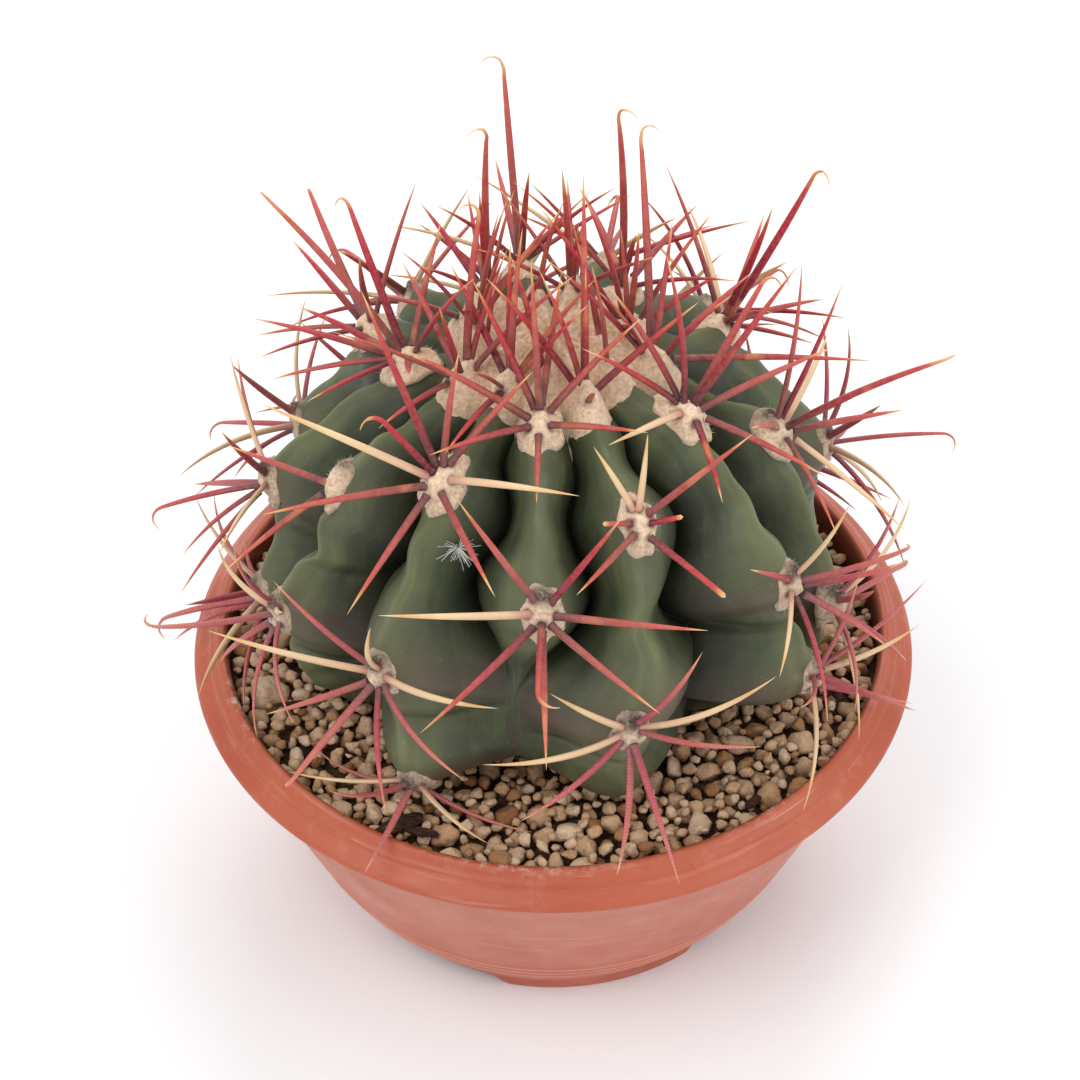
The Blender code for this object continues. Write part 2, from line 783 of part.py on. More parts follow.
def pad_object(name, areole):
    """The oval felt pad that sits on the crest like a saddle."""
    size = 1.0 if areole.number >= 0 else CROWN_PAD_SIZE
    form = bmesh.new()
    bmesh.ops.create_uvsphere(form, u_segments=6, v_segments=3, radius=1.0)
    for vert in form.verts:
        across, along, high = vert.co
        vert.co = Vector(
            areole.place
            + areole.normal * (high * PAD_HEIGHT - across * across * PAD_SADDLE)
            + areole.down * along * PAD_HALF_LENGTH * size
            + areole.across * across * PAD_HALF_WIDTH * size * PAD_WIDTHS.get(areole.number, 1.0)
        )
    return object_of(name, form)


def collection_of(name, parent, hidden=False):
    collection = bpy.data.collections.new(name)
    collection.hide_render = hidden
    parent.children.link(collection)
    return collection


def drop_collection(collection):
    for part in list(collection.objects):
        bpy.data.objects.remove(part)
    bpy.data.collections.remove(collection)


def apply_modifiers(target):
    bpy.context.view_layer.update()
    graph = bpy.context.evaluated_depsgraph_get()
    mesh = bpy.data.meshes.new_from_object(target.evaluated_get(graph))
    target.modifiers.clear()
    target.data = mesh


def unite(target, loose):
    """Joins a collection's objects to the target, and removes them."""
    union = target.modifiers.new("repeats", "BOOLEAN")
    union.operation = "UNION"
    union.solver = "MANIFOLD"
    union.operand_type = "COLLECTION"
    union.collection = loose
    apply_modifiers(target)
    drop_collection(loose)


def cut(target, cutter):
    difference = target.modifiers.new("seat", "BOOLEAN")
    difference.operation = "DIFFERENCE"
    difference.object = cutter
    apply_modifiers(target)


def keep_largest(target):
    """Drops loose scraps that a cut leaves, and merges faces that lie in one plane."""
    form = bmesh.new()
    form.from_mesh(target.data)
    bmesh.ops.dissolve_limit(form, angle_limit=FLAT_ANGLE, verts=form.verts[:], edges=form.edges[:])
    bmesh.ops.triangulate(form, faces=form.faces[:])
    unseen = set(form.verts)
    islands = []
    while unseen:
        queue = [unseen.pop()]
        island = set(queue)
        while queue:
            for edge in queue.pop().link_edges:
                for vert in edge.verts:
                    if vert in unseen:
                        unseen.remove(vert)
                        island.add(vert)
                        queue.append(vert)
        islands.append(island)
    islands.sort(key=len)
    scraps = [vert for island in islands[:-1] for vert in island]
    bmesh.ops.delete(form, geom=scraps, context="VERTS")
    form.to_mesh(target.data)
    form.free()


def material_of(name, colour, roughness):
    material = bpy.data.materials.new(name)
    material.use_nodes = True
    shader = material.node_tree.nodes["Principled BSDF"]
    shader.inputs["Base Color"].default_value = (*colour, 1.0)
    shader.inputs["Roughness"].default_value = roughness
    shader.inputs["Metallic"].default_value = 0.0
    return material


def finish(part, material, smooth_shaded=True):
    part.data.materials.clear()
    part.data.materials.append(material)
    if smooth_shaded:
        part.data.shade_smooth()
        part.data.set_sharp_from_angle(angle=math.radians(35))


def turned(name, outline, collection):
    """A turned solid from its outline, which runs down the outer side first."""
    mesh = bpy.data.meshes.new(name)
    count = len(outline)
    on_axis = outline[0][0] == 0.0 or outline[-1][0] == 0.0
    links = count - 1 if on_axis else count
    edges = [(index, (index + 1) % count) for index in range(links)]
    mesh.from_pydata([(radius, 0.0, z) for radius, z in outline], edges, [])
    part = bpy.data.objects.new(name, mesh)
    collection.objects.link(part)
    screw = part.modifiers.new("turn", "SCREW")
    screw.axis = "Z"
    screw.steps = TURNED_STEPS
    screw.render_steps = TURNED_STEPS
    screw.use_merge_vertices = True
    screw.merge_threshold = 0.00001
    return part


def wall_radius(z):
    """Outer radius of the bowl's wall between its foot and its rim."""
    rise = (z - FLOOR_TOP_Z) / (WALL_TOP_Z - FLOOR_TOP_Z)
    return FOOT_RADIUS + (WALL_TOP_RADIUS - FOOT_RADIUS) * rise**WALL_BELLY


def bowl_outline():
    rim = [
        (RIM_TOP_RADIUS + 0.0014, BOWL_HEIGHT),
        (RIM_RADIUS - 0.0062, BOWL_HEIGHT - 0.0042),
        (RIM_RADIUS - 0.0056, BOWL_HEIGHT - 0.0056),
        (RIM_RADIUS - 0.0002, BOWL_HEIGHT - 0.0096),
        (RIM_RADIUS - 0.0008, BOWL_HEIGHT - 0.0118),
        (WALL_TOP_RADIUS + 0.0006, WALL_TOP_Z + 0.0002),
    ]
    outside = [(wall_radius(z), z) for z in WALL_LEVELS]
    foot = [
        (FOOT_RADIUS, FLOOR_TOP_Z),
        (FOOT_RADIUS - 0.0010, FOOT_HEIGHT),
        (FOOT_RADIUS - 0.0016, 0.0),
        (FOOT_RADIUS - FOOT_RING_WIDTH, 0.0),
        (FOOT_RADIUS - FOOT_RING_WIDTH - 0.0006, FOOT_HEIGHT),
        (0.0, FOOT_HEIGHT),
    ]
    inside = [(0.0, FLOOR_TOP_Z), (FOOT_RADIUS - WALL, FLOOR_TOP_Z + 0.0001)]
    inside += [(wall_radius(z) - WALL, z) for z in reversed(WALL_LEVELS)]
    inside += [(WALL_TOP_RADIUS - WALL - 0.0014, WALL_TOP_Z + 0.002)]
    inside += [(RIM_TOP_RADIUS - 0.0010, BOWL_HEIGHT - 0.0008)]
    return rim + outside + foot, inside


def make_bowl(collection, cutters):
    outside, inside = bowl_outline()
    bowl = turned("pot", outside + inside, collection)
    apply_modifiers(bowl)
    for number in range(FOOT_COUNT):
        azimuth = FIRST_FOOT_AZIMUTH + (number + 0.5) * 2 * math.pi / FOOT_COUNT
        cutter = foot_cutter(f"foot_gap_{number + 1}", azimuth)
        cutters.objects.link(cutter)
        cut(bowl, cutter)
    for number in range(DRAIN_HOLES):
        azimuth = (number + 0.5) * 2 * math.pi / DRAIN_HOLES
        cutter = drain_cutter(f"drain_hole_{number + 1}", azimuth)
        cutters.objects.link(cutter)
        cut(bowl, cutter)
    return bowl


def foot_cutter(name, azimuth):
    """A block with sloping ends that leaves a gap between two feet."""
    form = bmesh.new()
    bmesh.ops.create_cube(form, size=1.0)
    for vert in form.verts:
        low = vert.co.z < 0
        length = FOOT_GAP_LENGTH + (2 * FOOT_GAP_SLOPE if low else 0.0)
        vert.co = Vector((vert.co.x * length, vert.co.y * 0.040, -0.002 if low else FOOT_HEIGHT - 0.0006))
    return as_cutter(object_of(name, form), azimuth, FOOT_RADIUS - 0.004, 0.0)


def drain_cutter(name, azimuth):
    form = bmesh.new()
    bmesh.ops.create_cone(
        form,
        cap_ends=True,
        segments=12,
        radius1=DRAIN_HOLE_RADIUS,
        radius2=DRAIN_HOLE_RADIUS,
        depth=0.012,
    )
    mesh = bpy.data.meshes.new(name)
    form.to_mesh(mesh)
    form.free()
    middle = (FLOOR_TOP_Z + FOOT_HEIGHT) / 2
    return as_cutter(bpy.data.objects.new(name, mesh), azimuth, DRAIN_CIRCLE_RADIUS, middle)


def as_cutter(cutter, azimuth, radius, z):
    cutter.location = (radius * math.sin(azimuth), -radius * math.cos(azimuth), z)
    cutter.rotation_euler = (0.0, 0.0, azimuth)
    cutter.hide_render = True
    cutter.display_type = "WIRE"
    return cutter


def make_soil(collection):
    """The growing mix, with a plain hole that the base of the stem stands in."""
    outline = [(0.0, CREST_Z[-1] - 0.006)]
    for s in reversed(stem_rows()):
        radius, z = crest(s)
        out, up = crest_normal(min(s, STEM_END_S - 0.002))
        radius, z = float(radius + out * HOLE_CLEARANCE), float(z + up * HOLE_CLEARANCE)
        if z < SOIL_TOP_Z - HOLE_CLEARANCE:
            outline.append((radius, z))
    below_waist = CREST_Z < WAIST_Z
    mouth = float(np.interp(-SOIL_TOP_Z, -CREST_Z[below_waist], CREST_R[below_waist]))
    outline.append((mouth + HOLE_CLEARANCE, SOIL_TOP_Z))
    outline += [(wall_radius(z) - WALL - GAP, z) for z in WALL_LEVELS]
    outline += [(FOOT_RADIUS - WALL - 2 * GAP, FLOOR_TOP_Z + 2 * GAP)]
    outline += [(0.0, FLOOR_TOP_Z + 2 * GAP)]
    return turned("soil", outline, collection)


def stone_places(random, limit):
    """Middles of the stones, thrown at random and kept where they don't crowd another."""
    places = []
    for _ in range(STONE_THROWS):
        radius = (limit - 0.4 * STONE_SPACING) * math.sqrt(random.uniform(GRAVEL_INNER_SHARE, 1.0))
        turn = random.uniform(0, 2 * math.pi)
        point = (radius * math.sin(turn), -radius * math.cos(turn))
        if all(math.dist(point, other) > STONE_SPACING for other in places):
            places.append(point)
    return places


def spread(points):
    """Triangles between points in the plane, and for each point the one it came from."""
    found = delaunay_2d_cdt([Vector(point) for point in points], [], [], 0, 1e-7)
    return found[0], found[2], [source[0] for source in found[3]]


def gravel_points(random, limit):
    """Points of the gravel's surface: three on top of each stone, and low ones in between."""
    places = stone_places(random, limit)
    points = []
    for x, y in places:
        turn = random.uniform(0, 2 * math.pi)
        top = random.uniform(GRAVEL_SURFACE_Z - STONE_TOP_SPREAD, GRAVEL_SURFACE_Z)
        for corner in range(3):
            angle = turn + corner * 2 * math.pi / 3 + random.uniform(-0.3, 0.3)
            reach = STONE_SPACING * STONE_TOP_SHARE * random.uniform(0.85, 1.15)
            z = top + random.uniform(-STONE_TILT, STONE_TILT)
            points.append((x + reach * math.cos(angle), y + reach * math.sin(angle), z))
    middles, faces, _ = spread(places)
    for face in faces:
        corners = [middles[index] for index in face]
        x, y = sum(corners, Vector((0.0, 0.0))) / 3
        points.append((x, y, GRAVEL_BED_TOP_Z + random.uniform(-0.0004, 0.0008)))
    return [point for point in points if math.hypot(point[0], point[1]) < limit - 0.0012]


def make_gravel(collection, cutter):
    """The top-dressing: angular stones close together, one body resting on the growing mix."""
    limit = wall_radius(SOIL_TOP_Z) - WALL - 0.0008
    random = np.random.RandomState(SEED)
    points = gravel_points(random, limit)
    rim = []
    for step in range(TURNED_STEPS):
        turn = 2 * math.pi * step / TURNED_STEPS
        rim.append((limit * math.cos(turn), limit * math.sin(turn), GRAVEL_BED_TOP_Z))
    points = rim + points
    form = bmesh.new()
    flat, faces, source = spread([point[:2] for point in points])
    tops = [form.verts.new((at.x, at.y, points[source[index]][2])) for index, at in enumerate(flat)]
    for face in faces:
        form.faces.new([tops[index] for index in face])
    edge = [tops[source.index(step)] for step in range(TURNED_STEPS)]
    low = [form.verts.new((vert.co.x, vert.co.y, SOIL_TOP_Z + GAP)) for vert in edge]
    for step in range(TURNED_STEPS):
        after = (step + 1) % TURNED_STEPS
        form.faces.new((edge[step], low[step], low[after], edge[after]))
    form.faces.new(low)
    gravel = object_of("gravel", form)
    collection.objects.link(gravel)
    cut(gravel, cutter)
    keep_largest(gravel)
    return gravel


def make_fan(name, pads, thorns, collection, cutter):
    """One body of felt pads and the spines that grow from them, seated on the skin."""
    fan = pads[0]
    fan.name = name
    collection.objects.link(fan)
    loose = collection_of("loose_" + name, bpy.context.scene.collection)
    for pad in pads[1:]:
        loose.objects.link(pad)
    last = SPINE_POINTS - 1
    for number, (spine, line) in enumerate(thorns):
        rings = (0, last // 2, last * 5 // 6, last * 11 // 12) if spine.kind == "hook" else (0, last * 3 // 5)
        loose.objects.link(thorn_object(f"thorn_{number}", line, spine_radii(spine.radius), 3, rings))
    unite(fan, loose)
    cut(fan, cutter)
    keep_largest(fan)
    return fan


def crown_wool(name):
    """The mound of young felt over the growing point."""
    form = bmesh.new()
    bmesh.ops.create_uvsphere(form, u_segments=10, v_segments=4, radius=1.0)
    for vert in form.verts:
        across, along, high = vert.co
        swell = 1 + 0.10 * math.sin(5 * math.atan2(along, across)) * (1 - abs(high))
        reach = CROWN_FELT_RADIUS * swell
        vert.co = Vector((across * reach, along * reach, CROWN_FELT_Z + high * CROWN_FELT_HEIGHT))
    return object_of(name, form)


def clear_scene():
    for part in list(bpy.data.objects):
        bpy.data.objects.remove(part)


def main():
    clear_scene()
    scene = bpy.context.scene.collection
    plant = collection_of(COLLECTION_NAME, scene)
    cutters = collection_of("cutters", scene, hidden=True)

    stem = stem_object("stem")
    plant.objects.link(stem)
    seat = stem_object("seat_cutter", SEAT_CLEARANCE)
    seat.hide_render = True
    seat.display_type = "WIRE"
    cutters.objects.link(seat)
    bpy.context.view_layer.update()
    skin = BVHTree.FromPolygons(
        [vert.co.copy() for vert in seat.data.vertices],
        [tuple(face.vertices) for face in seat.data.polygons],
    )

    areoles = all_areoles()
    spines = all_spines(areoles)
    lines = relaxed_lines(spines, areoles, skin)
    pads = [pad_object("pad", areole) for areole in areoles]
    by_group = {}
    for areole, pad in zip(areoles, pads):
        by_group.setdefault(max(areole.number, -1), []).append(pad)

    red = material_of("spines", (0.42, 0.035, 0.045), 0.45)
    wool = material_of("crown_felt", (0.75, 0.60, 0.44), 0.95)
    for group, members in sorted(by_group.items()):
        thorns = [(spine, line) for spine, line in zip(spines, lines) if spine.group == group]
        if group < 0:
            finish(make_fan("crown", [crown_wool("crown")] + members, thorns, plant, seat), wool, False)
        else:
            finish(make_fan(f"areole_{group + 1:02d}", members, thorns, plant, seat), red, False)

    gravel = make_gravel(plant, seat)
    finish(gravel, material_of("pumice_gravel", (0.44, 0.33, 0.22), 0.9), False)
    finish(make_soil(plant), material_of("growing_mix", (0.045, 0.028, 0.018), 0.95))
    finish(stem, material_of("stem_skin", (0.065, 0.105, 0.055), 0.5))
    finish(make_bowl(plant, cutters), material_of("pot_plastic", (0.55, 0.13, 0.06), 0.42))


main()
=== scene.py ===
"""The looks of the potted barrel cactus: a finely ribbed stem, felted areoles, ringed and hooked
spines, single stones of pumice and a turned plastic bowl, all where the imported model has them.

Metres, +Z up. The rules that place the ribs, the areoles and the spines are the part's own.
"""

import math
from itertools import product

import bmesh
import bpy
import numpy as np
from mathutils import Matrix, Vector, noise
from mathutils.bvhtree import BVHTree
from mathutils.kdtree import KDTree


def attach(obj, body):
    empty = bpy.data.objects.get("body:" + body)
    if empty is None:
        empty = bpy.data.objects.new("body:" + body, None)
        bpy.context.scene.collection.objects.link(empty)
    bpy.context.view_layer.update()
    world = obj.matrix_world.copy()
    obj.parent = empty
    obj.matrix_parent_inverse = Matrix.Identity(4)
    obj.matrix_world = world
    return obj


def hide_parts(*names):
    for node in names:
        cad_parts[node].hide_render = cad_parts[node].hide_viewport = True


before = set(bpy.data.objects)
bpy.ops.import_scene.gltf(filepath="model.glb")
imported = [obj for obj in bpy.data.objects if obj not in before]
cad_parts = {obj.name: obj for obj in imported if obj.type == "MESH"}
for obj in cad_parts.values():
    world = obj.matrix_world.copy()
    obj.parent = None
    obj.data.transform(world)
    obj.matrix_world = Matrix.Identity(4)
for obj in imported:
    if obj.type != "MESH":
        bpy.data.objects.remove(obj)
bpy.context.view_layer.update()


SEED = 7
GAP = 0.0003
UPWARD = np.array((0.0, 0.0, 1.0))

# The bowl
RIM_RADIUS = 0.1353
RIM_TOP_RADIUS = 0.1234
BOWL_HEIGHT = 0.116
WALL = 0.003
WALL_TOP_RADIUS = 0.1270
WALL_TOP_Z = 0.1030
FOOT_RADIUS = 0.0875
FOOT_HEIGHT = 0.0055
FLOOR_TOP_Z = 0.0085
WALL_BELLY = 0.73
FOOT_COUNT = 4
FOOT_GAP_LENGTH = 0.050
FOOT_GAP_SLOPE = 0.007
FIRST_FOOT_AZIMUTH = math.radians(11.5)
DRAIN_HOLES = 6
DRAIN_HOLE_RADIUS = 0.005
DRAIN_CIRCLE_RADIUS = 0.058

# The growing mix and the gravel on it
SOIL_TOP_Z = 0.098

# The stem
RIBS = 13
RIB_STEP = 2 * math.pi / RIBS
FIRST_RIB_AZIMUTH = math.radians(-6)
STEM_RADIUS = 0.105
WAIST_Z = 0.140
CROWN_RISE = 0.107
CROWN_SQUARENESS = 2.35
BASE_DROP = 0.046
BASE_SQUARENESS = 2.1
BASE_END_ANGLE = 1.32
ROOT = ((0.030, 0.088), (0.024, 0.076), (0.017, 0.062), (0.012, 0.052))
FURROW_SHARE = 0.30
TUBERCLE_SWELL = 0.0034
CHIN_DEPTH = 0.0036
WIDTH_SWING = 0.30
CREST_BLUNTNESS = 0.12
AREOLE_BLUNTNESS = 0.16
BLUNT_RIBS = {0: 0.50, 1: 0.20}
FADING_RIB = 0
FADE_START = 0.112
FADE_END = 0.148
FADE_WIDTH = 0.95
FADE_FILL = 0.50
STEM_ROWS = 23
FLANK_SHARES = (-0.62, -0.26, 0.0, 0.26, 0.62, 1.0)

# The areoles, numbered by age: number 0 is the front one below the crown
TURN_RIBS = 5
RIB_INTERVAL = 13
FIRST_AREOLE_S = 0.040
AREOLE_STEP_S = 0.005
CROWN_CROWDING = 0.05
YOUNGEST = -8
OLDEST = 31
MISSING_AREOLE = 26
SEAT_CLEARANCE = 0.0005
PAD_WIDTHS = {8: 0.8, 10: 0.6}
CROWN_FELT_Z = 0.2462
SPINE_SEAT_WIDTH = 0.0040
SPINE_SEAT_LENGTH = 0.0064
SPINE_SEAT_HEIGHT = 0.0018
SPINE_SEAT_FALL = 0.0014
SPINE_ROOT_RADIUS = 0.0013
SPINE_TAPER = 2.6
SPINE_BEND = math.radians(14)
BEND_START = 0.2
OLD_SPINE_BEND = 1.2
OLD_BEND_START = 0.2
HOOK_ANGLE = math.radians(125)
HOOK_LENGTH = 0.0125
MOST_OF_A_HOOK = 0.34
SPINE_POINTS = 23
CLEARANCE = 0.0008
SAMPLING_SLACK = 0.0006
PAD_KEEP_OUT = 0.0115
FREE_ROOT_POINTS = 6
GRAVEL_EDGE_RADIUS = 0.1205
OVER_TABLE_RADIUS = 0.1375
FLOOR_OVER_GRAVEL = 0.1088
FLOOR_OVER_RIM = 0.1178
LEVEL_MARGIN = 0.003
RELAX_ROUNDS = 80
RELAX_SHARE = 0.35
MOST_PUSH = 0.9

# How finely the plain stem is made, which fans are old, and how many buds lie over the fans
CREST_POINTS = 160
BASE_POINTS = 120
TOP_ROWS = (0.006, 0.016, 0.026)
ROOT_ROWS = 4
ROOT_TIP = 0.004
FIRST_OLD = 9
BUDS = 7

# The stem's skin
SKIN_SHARES = (0.018, 0.04, 0.075, 0.13, 0.2, 0.28, 0.37, 0.47, 0.57, 0.67, 0.76, 0.84, 0.91, 0.955, 0.985)
SKIN_VALUES = ("crest", "crease_shade", "flush", "around", "down", "deep")
SKIN_ROW_STEP = 0.0013
SKIN_ROOT_ROWS = 12
SKIN_TOP_S = 0.003
SKIN_LOW_S = 0.236
SKIN_LUMPS = ((45, 0.0009), (160, 0.00022))
CREST_WANDER = 0.0007
CREST_WANDERS = {11: 0.0028, 1: 0.0012, 2: 0.0014}
CREST_RIDGE = 0.0005
# How much each rib's crest ridge stands out and shows its painted highlight; ribs not listed take 1
PLAIN_CRESTS = {0: 0.0, 1: 0.35, 12: 0.5, 5: 0.5, 6: 0.5}
FURROW_CREASE = 0.0024
FIRST_FOLD = 16
FOLD_DROP = 0.019
FOLD_SLANT = 0.007
FOLD_DEPTH = 0.0010
FOLD_WIDTH = 0.0012
BULGE_HEIGHT = 0.0016
BULGE_OVER_FOLD = 0.007
BULGE_WIDTH = 0.006

# The spines
RING_STEP = 0.00056
FEWEST_RINGS = 12
RING_DEPTH = 0.012
OLD_RING_DEPTH = 0.026
SPINE_SIDES = 6
SPINE_FLATNESS = 0.66
SPINE_FULLNESS = 1.12
SPINE_END = 0.995
STUB_END = 0.9
ROOT_SWELL = 0.16
EXTRA_SPINES = 3
EXTRA_SPINE_SIZE = 0.86

# The pads of felt and their hairs
PAD_RINGS = 13
PAD_SIDES = 40
PAD_HALF_WIDTH = 0.0084
PAD_HALF_LENGTH = 0.0118
PAD_FELT = 0.0030
PAD_HEM = 0.0012
PAD_DEPTH = 0.006
DEEPEST_FELT = 0.0050
PAD_LUMPS = ((420, 0.0007), (1100, 0.0003))
ROOT_BULGE = 0.11
ROOT_BULGE_ANGLE = 0.28
PAD_ROOT_SHARE = 0.04
PAD_PIT = 0.0023
PIT_DEPTH = 0.0011
NUB_PLACE = 0.66
NUB_LENGTH = 0.0030
NUB_WIDTH = 0.0036
NUB_HEIGHT = 0.0016
NUB_LUMPS = (700, 0.0012)
PAD_HAIRS = 190
PAD_HAIR_LENGTH = 0.0017
HAIR_SIZE = 0.00006
HAIR_ROOT = 0.0004
SPIKE_FACES = ((0, 2, 1), (0, 1, 3), (1, 2, 3), (2, 0, 3))

# The felt in the crown
CROWN_EDGE = 0.047
CROWN_RINGS = 78
CROWN_SIDES = 190
CROWN_DROP_Z = 0.246
CROWN_ROOT_Z = 0.230
CROWN_HEM = -0.010
CROWN_PIT = 0.0021
CROWN_LUMPS = ((230, 0.0016), (520, 0.0009))
CROWN_HAIRS = 3600
CROWN_HAIR_LENGTH = 0.0021
CROWN_LOBES = 16
LOBE_WIDTH = 0.0086
LOBE_LENGTH = 0.0104
LOBE_HEIGHT = 0.0056
LOBE_SPREAD = 0.0008
LOBE_REACH = 1.6
CROWN_MIDDLE_HEIGHT = 0.0046
CROWN_MIDDLE_RADIUS = 0.024
FELT_SHARPNESS = 3500

# The stones. The pale one is (x, y, z, radius), and a bare place (x, y, radius)
GRAVEL_WALL = 0.1222
STONE_BED_Z = 0.1002
STONE_TOP_Z = 0.1088
STONE_TRIES = 16
STONE_SIZES = (0.0056, 0.0066, 0.0078, 0.0090, 0.0102, 0.0116, 0.0134)
STONE_ODDS = (0.12, 0.18, 0.22, 0.20, 0.15, 0.09, 0.04)
STONE_FACETS = 13
STONE_WAVES = 5
STONE_TOUCH = 0.90
LYING_STONES = 0.6
FILLER_SIZES = (0.0030, 0.0050)
MOST_STONES = 1500
MOST_MISSES = 220
FINE_STONE = 0.0026
HEAP_SQUARE = 0.012
PALE_STONE = (-0.1045, -0.0290, 0.1035, 0.0085)
PALE_STONE_PICK = 0.95
BARE_PLACES = (
    *((0.069, -0.0875, 0.006), (0.1045, -0.034, 0.007)),
    *((-0.054, -0.096, 0.008), (-0.027, -0.112, 0.004)),
)
BARE_RISE = 0.0022

# The top of the growing mix
HUMUS_RINGS = 34
HUMUS_SIDES = 200
HUMUS_INNER = 0.040
HUMUS_OUTER = 0.1229
HUMUS_Z = 0.1008
HUMUS_LUMPS = ((120, 0.0010), (420, 0.0006))

# What lies about: a wind-blown seed on the skin, bark and a twig on the gravel
SEED_PLACE = (-0.0322, -0.0632, 0.2101)
SEED_SIZE = (0.0004, 0.0004, 0.0013)
SEED_HAIRS = 46
SEED_HAIR_SIZE = 0.00008
BARK_BITS = (
    ((-0.0548, -0.0969, 0.1083), 0.0090, (1.0, 0.36, 0.20), 24),
    ((-0.0470, -0.1010, 0.1086), 0.0062, (1.0, 0.30, 0.22), -12),
    ((-0.0957, -0.0389, 0.1095), 0.0074, (1.0, 0.12, 0.12), 8),
    ((0.0700, -0.0880, 0.1080), 0.0040, (1.0, 0.45, 0.30), 50),
    ((0.1040, -0.0350, 0.1080), 0.0044, (1.0, 0.40, 0.30), 110),
)

# The bowl's profile, in mm from the rim's top, the rim, the top of the wall and the foot
LIP_STEPS = ((0.4, -0.2), (1.2, 0.0), (2.4, -0.4))
RIM_STEPS = (
    *((-8.8, -2.2), (-7.0, -3.4), (-6.1, -4.2), (-6.0, -5.0), (-5.6, -5.6), (-4.0, -6.6)),
    *((-2.0, -7.9), (-0.6, -9.1), (0.0, -10.0), (-0.2, -11.0), (-1.0, -11.9), (-2.2, -12.4)),
)
UNDER_RIM_STEPS = ((2.6, 0.8), (0.8, 0.4), (-0.2, -0.6))
FOOT_STEPS = (
    *((-0.4, 7.8), (-1.0, 5.5), (-1.2, 3.0), (-1.6, 0.6), (-2.1, 0.0)),
    *((-4.5, 0.0), (-4.9, 0.8), (-5.1, 3.0), (-5.1, 5.5)),
)
LOW_WALL_HEIGHTS = (0.0175, 0.0145, 0.0120, 0.0102, 0.0086)
INNERMOST_RADIUS = 0.030
FOOT_GAP_DROP = 0.0006
BOWL_SIDES = 180
RING_LINES = (0.0300, 0.0255, 0.0210)
RING_LINE_STEPS = (-1.8, -1.0, -0.5, 0.0, 0.5, 1.0, 1.8)
RING_LINE_WIDTH = 0.0005
RING_LINE_DEPTH = 0.0005
LIME_AZIMUTHS = ((-3, 16), (-68, 10), (38, 7), (150, 14))
LIME_WIDTH = 0.0022

# The camera and the lights: (name, place, aim, size, power, colour)
CAMERA_PITCH = math.radians(42.61)
CAMERA_DISTANCE = 0.953
CAMERA_X = -0.0045
CAMERA_AIM_Z = 0.1538
CAMERA_ROLL = math.radians(0.6)
PHOTO_SIDE = 1080
FOCAL_PIXELS = 2600
SENSOR = 36.0
LAMPS = (
    ("key", (-0.9, -0.9, 1.9), (0.0, 0.0, 0.12), 1.1, 17, (1.0, 0.985, 0.97)),
    ("fill", (1.3, -0.7, 1.2), (0.0, 0.0, 0.12), 1.2, 8, (0.98, 0.99, 1.0)),
    ("back", (0.2, 1.5, 1.6), (0.0, 0.1, 0.15), 1.2, 16, (1.0, 1.0, 1.0)),
)

# How the crests lean round the plant as they go down: rib: ((s, degrees), ...)
CREST_LEANS = {
    0: ((0.045, 0.0), (0.105, 3.5), (0.142, -3.0)),
    1: ((0.080, 0.0), (0.150, -8.0)),
    2: ((0.030, 4.0), (0.055, 8.0), (0.120, 4.0), (0.170, 9.0)),
    3: ((0.090, 0.0), (0.155, -8.0)),
    4: ((0.050, 0.0), (0.070, 10.0), (0.135, 0.0)),
    5: ((0.045, 12.0), (0.110, 9.0), (0.170, 0.0)),
    6: ((0.040, 6.0), (0.100, 5.0), (0.170, 0.0)),
    7: ((0.040, 3.0), (0.170, 0.0)),
    11: ((0.100, 0.0), (0.155, -4.0)),
    12: ((0.060, 0.0), (0.130, -2.0), (0.195, 5.0)),
}

# Areoles that sit lower down their rib than the rule says, or higher, in mm
AREOLE_SHIFTS = {5: 4, 11: -9, 15: 11, 16: 5, 18: 10, 21: 6, 23: -5, 24: -5, 29: -13, 31: -4}

